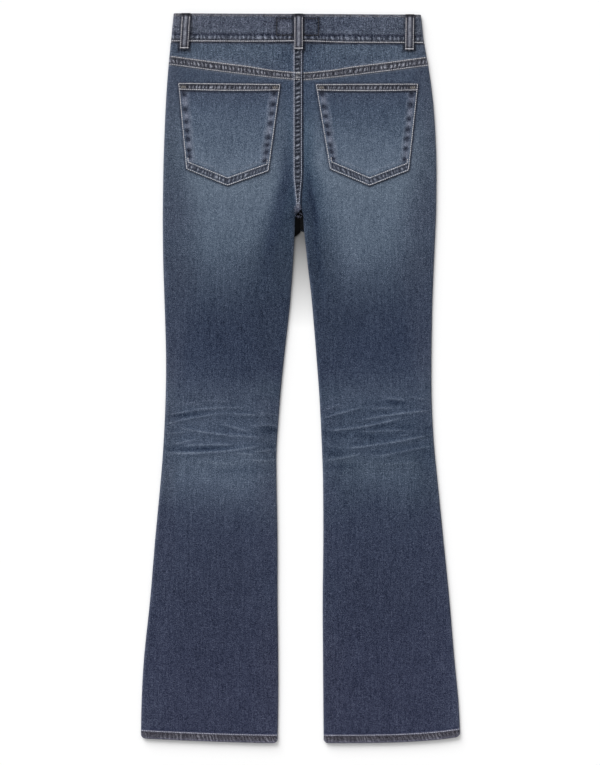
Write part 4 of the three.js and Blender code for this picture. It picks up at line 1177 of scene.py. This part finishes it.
def pocket(name):
    """The points, shades and strokes of a back pocket."""
    leg, corners = LEGS[name], POCKETS[name]
    to, ti, lo, li, pt = (corners[k] for k in ("top_outer", "top_inner", "low_outer", "low_inner", "point"))
    across = to_fit(spread(0, 1, POCKET_STEP["across"] / abs(to[0] - ti[0])))[None]
    down = to_fit(spread(0, 1, POCKET_STEP["down"] / (to[1] - lo[1])))[:, None]
    x = lerp(lerp(to[0], lo[0], down), lerp(ti[0], li[0], down), across)
    foot = np.where(across < 0.5, lerp(lo[1], pt[1], across * 2), lerp(pt[1], li[1], across * 2 - 1))
    up = lerp(lerp(to[1], ti[1], across), foot, down)
    m = np.abs(x)
    top, side, foot_in = pocket_distances(corners, x, up)
    edge = np.minimum(side, foot_in)
    shade = dye(leg, m, up) + (-1, 0, 1.5)
    shade = mix(shade, (70, 79, 97), 0.4 * bell(top, 17, 12))
    relief = 0.14 * clouds(x / 22, up / 30, 81) + 0.3 * bell(top, 45, 40) * ease(edge, 8, 40)
    # the sides: dark hollows between pale rises, and the pale line of the turned-in edge
    strip = ease(side, 2.0, 3.4) * (1 - ease(side, 11.0, 15.5)) * ease(top, 11.5, 13) * ease(foot_in, 11, 16)
    hollow = np.zeros_like(x)
    for which, half in (("outer", across < 0.5), ("inner", across >= 0.5)):
        inset, heights = HOLLOWS[name, which]
        for k, height in enumerate(heights):
            tall, wide = 4.1 + 0.5 * math.sin(2.3 * k), 4.4 + 0.6 * math.sin(1.7 * k + 1)
            hollow += half * bell(up, height, tall) * bell(side, inset, wide)
    hollow = np.minimum(hollow, 1)
    shade = mix(shade, (130, 134, 149), 0.82 * strip * (1 - hollow) * bell(side, 7.5, 5.5))
    beside = bell(side, 6, 4) * ease(foot_in, 9, 14) * ease(top, 11.5, 13)
    shade = mix(shade, (34, 39, 54), 0.95 * hollow * np.maximum(strip, beside))
    ghost = bell(side, ALLOWANCE, 1.4) * ease(foot_in, 14, 18)
    ghost = np.maximum(ghost, bell(foot_in, 18.3, 1.5) * ease(side, 10, 14))
    ghost = ghost * ease(top, 12, 15) * (0.75 + 0.45 * clouds(x / 5, up / 7, 84))
    shade = mix(shade, (132, 138, 152), 0.42 * ghost)
    relief = relief - 0.45 * hollow * strip + 0.25 * strip * (1 - hollow) + 0.22 * ghost
    # the foot: two rows of stitching with small ripples between
    foot_band = ease(foot_in, 1.8, 2.8) * (1 - ease(foot_in, 9.2, 10.2)) * ease(side, 1.4, 2.6)
    foot_rope = Rope(x * 1.05, foot_in, 6.3, 0.35 * leg.side, 86)
    shade = mix(shade, (64, 68, 80), 0.85 * foot_band)
    shade = mix(shade, (40, 44, 56), 0.7 * foot_band * (bell(foot_in, 3.1, 1.2) + bell(foot_in, 8.7, 1.3)))
    relief = relief + foot_band * (0.42 * foot_rope.crest - 0.2)
    shade = mix(shade, (46, 54, 70), 0.5 * bell(foot_in, FOOT_ROW + 2.0, 0.9) * ease(side, 5, 8))
    # the hem across the mouth
    low_row = MOUTH_ROWS["low"] + MOUTH_ROWS["sag"] * np.sin(math.pi * across)
    hem = 1 - ease(top, low_row + 0.9, low_row + 1.7)
    within = ease(top, 2.0, 3.0) * (1 - ease(top, low_row - 1.9, low_row - 0.9))
    mouth_rope = Rope(x, top, 5.4, 0.15, 88)
    shade = mix(shade, (60, 60, 68), 0.85 * hem)
    shade = mix(shade, (36, 37, 45), 0.8 * hem * bell(top, 3.4, 1.4))
    shade = mix(shade, (84, 81, 80), 0.8 * within * bell(side, 7.4, 4.4))
    # painted shade round the tacks at the corners and under the hem across the mouth
    beside = within * bell(side, 14.0, 1.6) + bell(top, low_row + 2.2, 1.4) * bell(side, 8, 6)
    shade = mix(shade, (34, 34, 41), 0.75 * beside)
    shade = mix(shade, (36, 40, 53), 0.8 * bell(top, low_row + 2.6, 1.3) * ease(side, 1, 3))
    relief = relief + hem * 0.6 + within * (0.4 * mouth_rope.crest - 0.2)
    # pale lines under the stitches, and rubbed edges
    rows = np.maximum(bell(side, SIDE_ROW, 0.8), bell(foot_in, SIDE_ROW, 0.8))
    rows = np.maximum(rows, bell(foot_in, FOOT_ROW, 0.8) * ease(side, 2.5, 4.5))
    mouth_line = lerp(MOUTH_ROWS["outer"], MOUTH_ROWS["inner"], across)
    rows = np.maximum(rows, np.maximum(bell(top, mouth_line, 0.9), bell(top, low_row, 0.9)))
    shade = mix(shade, (116, 119, 128), 0.7 * rows)
    edge = np.minimum(edge, top)
    relief = relief - 0.4 * np.maximum(0, 1 - edge / 1.2) ** 2 - 0.2 * rows * (edge > 2)
    floor_z = plain_top(leg, m, up) + back_relief(leg, m, up) + 0.35
    grid = np.stack([x, up, floor_z + CLOTH + relief], -1)
    strokes = either(top < 30, mouth_rope.marks(bell(top, 6.2, 2.6) * within * ease(side, 13, 16), 98, 12),
                     foot_rope.marks(bell(foot_in, 5.9, 2.5) * foot_band, 84, 12))
    return grid, shade, strokes


for name, leg in LEGS.items():
    grid, shade, marks = pocket(name)
    # its columns run from the outer side to the inner side and its rows run down
    thing = shell("back_pocket_cloth_" + name, grid, shade, DENIM, thick=1.15, fleck=1.05, turn=leg.side < 0,
                  marks=marks)
    keep(thing, "back_pocket_" + name, slot="worn_denim")

# ---- belt loops, facings and fastenings -----------------------------------------------------------


def loop_shade(across, share, seed):
    """A worn belt loop: a pale ridge, dark hollows beside it, stitched lines and dark rolled edges."""
    shade = np.ones(np.broadcast(across, share).shape + (3,)) * (76, 78, 90)
    away = np.abs(across)
    patch = 0.8 + 0.3 * clouds(across * 3, share * 9, seed)
    shade = mix(shade, (158, 160, 168), 0.95 * bell(across, 0.02, 0.33) * patch)
    shade = mix(shade, (26, 27, 36), 0.95 * bell(away, 0.56, 0.12))
    shade = mix(shade, (136, 133, 136), 0.8 * bell(away, 0.84, 0.10))
    shade = mix(shade, (26, 26, 32), 0.9 * (1 - ease(share, 0.05, 0.11)) + 0.7 * bell(share, 0.925, 0.02))
    return shade


def plain_grid(x, up, z):
    """A grid from rows, columns or single values."""
    return np.stack(np.broadcast_arrays(x, up, z), -1).astype(float)


def back_loop(place):
    """The points and shades of a belt loop that stands over the band and reaches the yoke."""
    top_x, low_x = BACK_LOOPS[place]
    leg = LEGS["left"] if top_x < 0 else LEGS["right"]
    across = to_fit(np.linspace(-1, 1, 16))[None]
    share = to_fit(np.linspace(0, 1, 46))[:, None]
    centre = lerp(top_x, low_x, share)
    up = top_edge(top_x) - share * LOOP["length"]
    on_yoke = plain_top(leg, np.abs(centre), up) + (FELL["raise"] if abs(top_x) < 20 else 0) + 0.15
    under = lerp(on_yoke, band_rise(centre) + 0.1, ease(up, waist_seam(centre) - 6, waist_seam(centre) - 1)) + 0.3
    stand = LOOP["stand"] * np.sin(math.pi * share) ** 0.7
    away = np.abs(across)
    ridge_z = 0.45 * bell(across, 0, 0.5) - 0.25 * bell(away, 0.5, 0.15) - 0.35 * np.maximum(0, away - 0.85) / 0.15
    ripple = 0.12 * clouds(across * 2 + 5, share * 12, 91)
    x = centre + across * LOOP["width"] / 2
    return plain_grid(x, up, under + stand + LOOP["thick"] + ridge_z + ripple), loop_shade(across, share, 92)


for place in BACK_LOOPS:
    grid, shade = back_loop(place)
    thing = shell("back_loop_cloth_" + place, grid, shade, SEAM_DENIM, thick=LOOP["thick"] - 0.1, fleck=0.8, turn=True)
    keep(thing, "loop_back_" + place, slot="worn_denim")

for name, leg in LEGS.items():
    centre = leg.side * FRONT_LOOP_X
    across = to_fit(np.linspace(-1, 1, 10))[None]
    share = to_fit(np.linspace(0, 1, 16))[:, None]
    up = float(front_waist(centre)) + 1.5 + share * (BAND_HEIGHT - 3)
    grid = plain_grid(centre + across * LOOP["width"] / 2, up, SKIM)
    shade = loop_shade(across, 0.1 + 0.8 * share, 93)
    thing = shell("front_loop_cloth_" + name, grid, shade, SEAM_DENIM, thick=1.2, turn=True)
    keep(thing, "loop_front_" + name, slot="worn_denim")


FACING = {"low": 940.0, "past": 24.0, "under": 1.62}
for name, leg in LEGS.items():
    up = to_fit(spread(FACING["low"], FRONT_TOP, 4))[:, None]
    outseam = leg.outer(up) - WRAP["outer"] - SEAM_GAP
    edge = np.maximum(front_edge(leg, up) - FACING["past"], SCOOP["inner"] - FACING["past"])
    m = lerp(outseam, edge, to_fit(np.linspace(0, 1, 25))[None])
    height = stretched(up, FRONT_TOP, front_waist(leg.side * m) - 1.2)
    grid = plain_grid(leg.side * m, height, FACING["under"])
    thing = shell("pocket_facing_cloth_" + name, grid, dye(leg, m, height), DENIM, thick=CLOTH, turn=leg.side < 0)
    keep(thing, "pocket_facing_" + name)


def turned(name, profile, centre, material):
    """A round piece from a profile of (radius, z), closed at its axis."""
    steps = 48
    angle = np.arange(steps) * 2 * math.pi / steps
    rings = [plain_grid(centre[0] + radius * np.cos(angle), centre[1] + radius * np.sin(angle), z)
             for radius, z in profile[1:-1]]
    faces = []
    for k in range(len(profile) - 3):
        for i in range(steps):
            j = (i + 1) % steps
            faces.append([k * steps + i, k * steps + j, (k + 1) * steps + j, (k + 1) * steps + i])
    last = (len(profile) - 3) * steps
    faces += [list(reversed(range(steps))), list(range(last, last + steps))]
    return make_mesh(name, np.vstack(rings), faces, material, 150.0)


centre = (BUTTON["x"], float(front_waist(BUTTON["x"])) + BAND_HEIGHT / 2)
r, t = BUTTON["radius"], BUTTON["thick"]
profile = [(0, 0.45), (0.8, 0.42), (3.4, 0.30), (4.2, 0.12), (4.8, 0.34), (5.9, 0.34), (6.5, 0.1), (7.4, 0.0),
           (8.1, 0.12), (r, 0.5), (r, t - 0.3), (r - 0.4, t), (0, t)]
keep(turned("button_face", profile, centre, BUTTON_METAL), "button", slot="button_metal")


def boxes(name, centres, size, material, shade):
    """Small blocks of one size."""
    corners = np.array([(x, y, z) for z in (-1, 1) for y in (-1, 1) for x in (-1, 1)]) / 2 * size
    quads = [(0, 2, 3, 1), (4, 5, 7, 6), (0, 1, 5, 4), (2, 6, 7, 3), (0, 4, 6, 2), (1, 3, 7, 5)]
    points = (np.array(centres)[:, None] + corners[None]).reshape(-1, 3)
    faces = [[8 * k + i for i in q] for k in range(len(centres)) for q in quads]
    return make_mesh(name, points, faces, material, shade)


ZIP = {"x": 3.0, "low": 905.0, "high": 1012.0, "under": 1.65}
tape = to_fit(np.linspace(-13, 13, 16))[None]
rows = to_fit(spread(ZIP["low"], ZIP["high"], 4))[:, None]
grid = plain_grid(ZIP["x"] + tape, rows, ZIP["under"])
tape_shade = np.ones(grid.shape[:2] + (3,)) * (70, 74, 86)
keep(shell("zip_tape_cloth", grid, tape_shade, ZIP_CLOTH, thick=0.6, turn=True), "zip", slot="zip_tape")
teeth = [(ZIP["x"] + 0.9 * (-1) ** k, up, 2.6) for k, up in enumerate(spread(ZIP["low"] + 3, ZIP["high"] - 2, 1.1))]
keep(boxes("zip_teeth", teeth, (2.6, 0.8, 0.7), BUTTON_METAL, 150), slot="button_metal")


# ---- sewing ---------------------------------------------------------------------------------------
PITCH = 3.3
THREAD = {"length": 2.9, "radius": 0.52}


def row(path, pitch=PITCH, seed=1):
    """Stitches along a path of (x, up): their middles, directions and lengths."""
    path = np.asarray(path, float)
    steps = np.linalg.norm(np.diff(path, axis=0), axis=1)
    reach = np.concatenate([[0], np.cumsum(steps)])
    count = max(int(reach[-1] / pitch), 1)
    at = (np.arange(count) + 0.5) * reach[-1] / count
    random = np.random.RandomState(seed)
    half = THREAD["length"] / 2
    ends = [np.stack([np.interp(at + k * half, reach, path[:, i]) for i in range(2)], -1) for k in (-1, 1)]
    way = ends[1] - ends[0]
    angle = np.arctan2(way[:, 1], way[:, 0]) + random.uniform(-0.09, 0.09, count)
    middle = (ends[0] + ends[1]) / 2 + random.uniform(-0.14, 0.14, (count, 2))
    long = np.linalg.norm(way, axis=1) * random.uniform(0.9, 1.06, count)
    return np.stack([middle[:, 0], middle[:, 1], np.cos(angle), np.sin(angle), long], -1)


def tack(start, end, width, seed, pitch=0.75):
    """A bar tack: close short stitches across a line."""
    start, end = np.array(start, float), np.array(end, float)
    way = (end - start) / np.linalg.norm(end - start)
    across = np.array([-way[1], way[0]])
    count = int(np.linalg.norm(end - start) / pitch)
    random = np.random.RandomState(seed)
    rows_made = []
    for k in range(count):
        middle = lerp(start, end, (k + 0.5) / count)
        lean = across * width + way * pitch * (0.8 if k % 2 else -0.8)
        long = np.linalg.norm(lean)
        rows_made.append([*(middle + random.uniform(-0.15, 0.15, 2)), *(lean / long), long * random.uniform(0.85, 1.1)])
    return np.array(rows_made)


def surface_of(*things):
    """A tree to find the surface of some pieces with, in millimetres as (x, up, z)."""
    points, polygons, base = [], [], 0
    for thing in things:
        count = len(thing.data.vertices)
        flat = np.empty(count * 3)
        thing.data.vertices.foreach_get("co", flat)
        points.append(flat.reshape(-1, 3) / MM - (0, HEM_Y, 0))
        polygons += [[i + base for i in p.vertices] for p in thing.data.polygons]
        base += count
    return BVHTree.FromPolygons(np.vstack(points).tolist(), polygons)


def height_at(tree, x, up, under):
    """The surface's height at a place from above, or from under it."""
    hit = tree.ray_cast(Vector((x, up, -50 if under else 50)), Vector((0, 0, 1 if under else -1)))[0]
    return None if hit is None else hit.z


def sew(name, stitches, tree, material=BEIGE, radius=THREAD["radius"], under=False, slot="zip_tape"):
    """Turns stitches into short rounded threads that dip into the cloth at both ends."""
    sides = 5
    middles, ways, normals, lengths = [], [], [], []
    for x, up, dx, dy, long in np.vstack(stitches):
        reach = 0.3 * long
        z0, z1 = (height_at(tree, x + k * dx * reach, up + k * dy * reach, under) for k in (-1, 1))
        if z0 is None or z1 is None or abs(z1 - z0) > 1.2 * reach:
            continue
        way = np.array([2 * dx * reach, 2 * dy * reach, z1 - z0])
        way /= np.linalg.norm(way)
        side = np.array([-dy, dx, 0.0])
        middles.append((x, up, (z0 + z1) / 2))
        ways.append(way)
        normals.append(np.cross(way, side) * (-1 if under else 1))
        lengths.append(long)
    middles, ways, normals = np.array(middles), np.array(ways), np.array(normals)
    lengths = np.array(lengths)[:, None]
    across = np.cross(normals, ways)
    flat = 0.5 if under else 0.8
    rise = 0.0 if under else 0.3
    rings = []
    for t, wide, lift in ((-0.5, 0.45, -0.75), (-0.27, 1.0, 0.15), (0.27, 1.0, 0.15), (0.5, 0.45, -0.75)):
        centre_line = middles + ways * lengths * t + normals * radius * (rise + (lift if not under else lift * 0.4))
        for k in range(sides):
            angle = 2 * math.pi * k / sides
            rings.append(centre_line + radius * wide * (across * math.cos(angle) + normals * math.sin(angle) * flat))
    points = np.stack(rings, 1).reshape(-1, 3)
    if under:
        points[:, 2] = np.maximum(points[:, 2], 0.02)
    one = [[r * sides + k, r * sides + (k + 1) % sides, (r + 1) * sides + (k + 1) % sides, (r + 1) * sides + k]
           for r in range(3) for k in range(sides)]
    one += [list(reversed(range(sides))), list(range(3 * sides, 4 * sides))]
    faces = [[i + 4 * sides * n for i in f] for n in range(len(middles)) for f in one]
    keep(make_mesh(name, points, faces, material, 170.0), slot=slot)


def across_line(x0, x1, height):
    """A path between two places across the garment, at a height that follows x."""
    x = spread(x0, x1, 4.0)
    return np.stack([x, height(x)], -1)


def hem_line(leg, depth, inset):
    """A path along a hem at a height above its edge."""
    low = leg.inner(12.0) + inset
    m = spread(leg.outer(12.0) - inset, low, 3.0)
    return np.stack([leg.side * m, depth + hem_lift(leg, m, np.full_like(m, depth))], -1)


def seat_line(which):
    """A path down one side of the seat seam."""
    up = spread(804, 1046, 4.0)
    narrow = ease(up, CROTCH["top"] + 55, CROTCH["top"])
    x = -9.7 + 4.5 * narrow if which == "left" else 1.3 - 3.8 * narrow
    return np.stack([x, up], -1)


def inset_corner(corners, previous, here, following, first, second):
    """Where two lines meet that lie in from the two edges at a corner."""
    ring_way = 1 if corners["top_outer"][0] < corners["top_inner"][0] else -1

    def moved(a, b, distance):
        a, b = np.array(corners[a]), np.array(corners[b])
        way = (b - a) / np.linalg.norm(b - a)
        return a + ring_way * distance * np.array([way[1], -way[0]]), way

    (p, u), (q, v) = moved(previous, here, first), moved(here, following, second)
    t = np.linalg.solve(np.array([u, -v]).T, q - p)[0]
    return p + t * u


def pocket_rows(name):
    """The rows of stitching on a back pocket, and the tacks at its two upper corners."""
    corners = POCKETS[name]
    ring = ["top_outer", "top_inner", "low_inner", "point", "low_outer"]

    def at(k, first, second):
        return inset_corner(corners, ring[k - 1], ring[k], ring[(k + 1) % 5], first, second)

    near = SIDE_ROW
    outside = [at(1, MOUTH_ROWS["inner"], near), at(2, near, near), at(3, near, near), at(4, near, near),
               at(0, near, MOUTH_ROWS["outer"])]
    foot = [at(2, 4.0, FOOT_ROW), at(3, FOOT_ROW, FOOT_ROW), at(4, FOOT_ROW, 4.0)]
    rise = np.array([0, 7.0])
    foot = [foot[0] + rise + (0.6 * np.sign(foot[0][0] - foot[1][0]), 0), foot[0], foot[1], foot[2],
            foot[2] + rise + (0.6 * np.sign(foot[2][0] - foot[1][0]), 0)]
    mouth = [at(0, near, MOUTH_ROWS["outer"]), at(1, MOUTH_ROWS["inner"], near)]
    ends = at(0, near, MOUTH_ROWS["low"]), at(1, MOUTH_ROWS["low"], near)
    lower = [lerp(*ends, t) - (0, MOUTH_ROWS["sag"] * math.sin(math.pi * t)) for t in np.linspace(0, 1, 11)]
    stitches = [row(outside, seed=3), row(foot, seed=4)]
    stitches += [row(mouth, seed=5, pitch=3.0), row(lower, seed=6, pitch=3.0)]
    way = (mouth[1] - mouth[0]) / np.linalg.norm(mouth[1] - mouth[0])
    tacks = []
    for k, corner in enumerate((at(0, 3.4, 6.2), at(1, 6.2, 3.4))):
        far = corner + way * (8.0 if k == 0 else -8.0)
        tacks.append(tack(corner, far, 4.4, seed=7 + k, pitch=1.5))
    return stitches, tacks


def tangle(centre, reach, count, seed):
    """Frayed thread ends, lying every way."""
    random = np.random.RandomState(seed)
    angle = random.uniform(0, math.pi, count)
    middles = np.array(centre) + random.uniform(-1, 1, (count, 2)) * reach
    return np.column_stack([middles, np.cos(angle), np.sin(angle), random.uniform(2.5, 6, count)])


trees = {name: surface_of(pieces["back_panel_" + name], pieces["back_yoke_" + name]) for name in LEGS}
band_tree = surface_of(pieces["waistband_cloth"])
for name, leg in LEGS.items():
    outer = leg.side * (leg.outer(1012) - 1.5)
    edges = (outer, -1.0) if leg.side < 0 else (4.5, outer)
    lines = [row(across_line(*edges, lambda x: yoke_low(x) + YOKE_LOW_ROW), seed=11),
             row(across_line(*edges, lambda x: yoke_low(x) + yoke_high_row(x)), seed=12)]
    sew("yoke_stitches_" + name, lines, trees[name])
    sew("hem_stitches_" + name, [row(hem_line(leg, HEM_ROW, 0.6), seed=13)], trees[name], PALE, 0.5)
    pocket_tree = surface_of(pieces["back_pocket_cloth_" + name])
    lines, tacks = pocket_rows(name)
    sew("pocket_stitches_" + name, lines, pocket_tree, radius=0.58)
    sew("pocket_tacks_" + name, tacks, pocket_tree, BROWNISH, 0.42)
seat = [row(seat_line("left"), seed=14), row(seat_line("right"), seed=15)]
seat_tree = surface_of(*(pieces["back_" + part + "_" + name] for part in ("panel", "yoke") for name in LEGS))
sew("seat_stitches", seat, seat_tree, PALE, 0.5)
crotch_tree = surface_of(*(pieces[part + "_panel_" + name] for part in ("back", "front") for name in LEGS))
sew("frayed_ends", [tangle((-3.6, 797), (5.0, 9.0), 60, 16)], crotch_tree, DUSTY, 0.4)
edge_left, edge_right = -LEGS["left"].outer(1053) + 1.5, LEGS["right"].outer(1053) - 1.5
band_rows = [row(across_line(edge_left, edge_right, lambda x: waist_seam(x) + seam_line(x)), seed=17, pitch=3.1)]
sew("waist_stitches", band_rows, band_tree, radius=0.62)
(x0, x1), (up0, up1) = LABEL["x"], LABEL["up"]
label = [(x0, up0), (x1, up0), (x1, up1), (x0, up1)]
sides = [row([label[k], label[(k + 1) % 4]], seed=18 + k) for k in range(4)]
sew("rectangle_stitches", sides, band_tree, TONAL, 0.62, slot="denim")
for place, (top_x, low_x) in BACK_LOOPS.items():
    high, low = top_edge(top_x) - 3.0, top_edge(top_x) - LOOP["length"] + 1.2
    side = 0.82 * LOOP["width"] / 2
    lines = [row([(top_x + k * side, high - 3), (low_x + k * side, low)], seed=22 + k, pitch=3.0) for k in (-1, 1)]
    lines.append(tack((low_x - side - 0.8, low + 0.8), (low_x + side + 0.8, low + 0.8), 1.7, seed=25))
    sew("loop_stitches_" + place, lines, surface_of(pieces["back_loop_cloth_" + place]), radius=0.42)

# the rows on the front, which lies on the surface
for name, leg in LEGS.items():
    tree = surface_of(pieces["front_panel_" + name])
    up = spread(SCOOP["low"] - 1, FRONT_TOP - 2, 3)
    lines = []
    for inset in (2.0, 8.0):
        m = front_edge(leg, up) - inset
        lines.append(row(np.stack([leg.side * m, stretched(up, FRONT_TOP, front_waist(leg.side * m))], -1), seed=27))
    lines.append(row(hem_line(leg, HEM_ROW, 13.5), seed=28))
    if leg.side < 0:
        fly = [(-38, 1018), (-37, 985), (-34, 950), (-27, 925), (-15, 908), (1, 899)]
        lines += [row(fly, seed=30), row([(x + (5.5 if x < -20 else 2.5), up + 2.5) for x, up in fly[:-1]], seed=31)]
        lines += [row([(-2.6, 896), (-2.6, 766)], seed=32), row([(-8.4, 896), (-8.4, 768)], seed=33)]
        lines.append(tack((-24, 917), (-16, 911), 2.0, seed=34))
    sew("front_stitches_" + name, lines, tree, under=True, radius=0.4)
lines = []
for seed, ends in ((35, (-180, 20)), (37, (24, 176))):
    for k, rise in enumerate((2.1, BAND_HEIGHT - 3)):
        lines.append(row(across_line(*ends, lambda x: front_waist(x) + rise), seed=seed + k))
sew("band_front_stitches", lines, band_tree, under=True, radius=0.4)

# ---- camera, light and floor ----------------------------------------------------------------------
# in metres: the middle of the view, and its long side at a level above the floor
VIEW = {"centre": (-0.0009, -0.0064), "long_side": 1.1475, "level": 0.006}
LENS, SENSOR = 100.0, 36.0
scene = bpy.context.scene
camera = bpy.data.objects.new("camera", bpy.data.cameras.new("camera"))
camera.data.lens, camera.data.sensor_width = LENS, SENSOR
camera.location = (*VIEW["centre"], VIEW["long_side"] * LENS / SENSOR + VIEW["level"])
camera.data.clip_end = 50.0
bpy.context.collection.objects.link(camera)
scene.camera = camera

FLOOR_REACH = 12.0  # metres
floor_mesh = bpy.data.meshes.new("floor")
corners = [(x * FLOOR_REACH, y * FLOOR_REACH, 0) for x, y in ((-1, -1), (1, -1), (1, 1), (-1, 1))]
floor_mesh.from_pydata(corners, [], [(0, 1, 2, 3)])
floor = bpy.data.objects.new("floor", floor_mesh)
bpy.context.collection.objects.link(floor)
n = Nodes("paper_with_painted_shadow")
place = n.add("TexCoord").outputs["Object"]
tone = n.ramp(n.noise(3, 2, place), 0.3, 0.7, 0.968, 0.976)
# painted shadow on the floor high between the legs, by the crotch
GAP = {"x": 4.2, "up": 790.0, "wide": 70.0, "tall": 105.0}
gap = n.add("Mapping", {0: place, 1: (-GAP["x"] / GAP["wide"], -(HEM_Y + GAP["up"]) / GAP["tall"], 0),
                        3: (1 / (GAP["wide"] * MM), 1 / (GAP["tall"] * MM), 1)}).outputs[0]
reach = n.add("VectorMath", {0: gap}, operation="LENGTH").outputs["Value"]
tone = n.maths("MULTIPLY", tone, n.ramp(reach, 0.28, 1.6, 0.16, 1.0))
grey = n.add("CombineColor", {0: tone, 1: tone, 2: tone}).outputs[0]
paper_with_painted_shadow = n.finish("BsdfPrincipled", {"Base Color": grey, "Roughness": 0.9, "Specular IOR Level": 0.1})
floor.data.materials.append(paper_with_painted_shadow)

KEY = {"azimuth": 120.0, "elevation": 27.0, "spread": 44.0, "strength": 3.0}
sun = bpy.data.objects.new("key", bpy.data.lights.new("key", "SUN"))
sun.data.energy, sun.data.angle = KEY["strength"], math.radians(KEY["spread"])
azimuth, elevation = math.radians(KEY["azimuth"]), math.radians(KEY["elevation"])
level = Vector((math.cos(azimuth), math.sin(azimuth), 0))
aim = level * math.cos(elevation) + Vector((0, 0, math.sin(elevation)))
sun.rotation_euler = aim.to_track_quat("Z", "Y").to_euler()
bpy.context.collection.objects.link(sun)
world = bpy.data.worlds.new("studio")
world.use_nodes = True
# the soft light of the room is stronger on the key's side
FILL = {"strength": 0.615, "lean": 0.6}
nodes, links = world.node_tree.nodes, world.node_tree.links
nodes["Background"].inputs[0].default_value = (1.0, 1.0, 1.0, 1)
lean = nodes.new("ShaderNodeVectorMath")
lean.operation = "DOT_PRODUCT"
lean.inputs[1].default_value = level * FILL["strength"] * FILL["lean"]
total = nodes.new("ShaderNodeMath")
total.inputs[1].default_value = FILL["strength"]
links.new(nodes.new("ShaderNodeTexCoord").outputs["Generated"], lean.inputs[0])
links.new(lean.outputs["Value"], total.inputs[0])
links.new(total.outputs[0], nodes["Background"].inputs["Strength"])
scene.world = world
scene.view_settings.view_transform = "Standard"
scene.view_settings.look = "None"
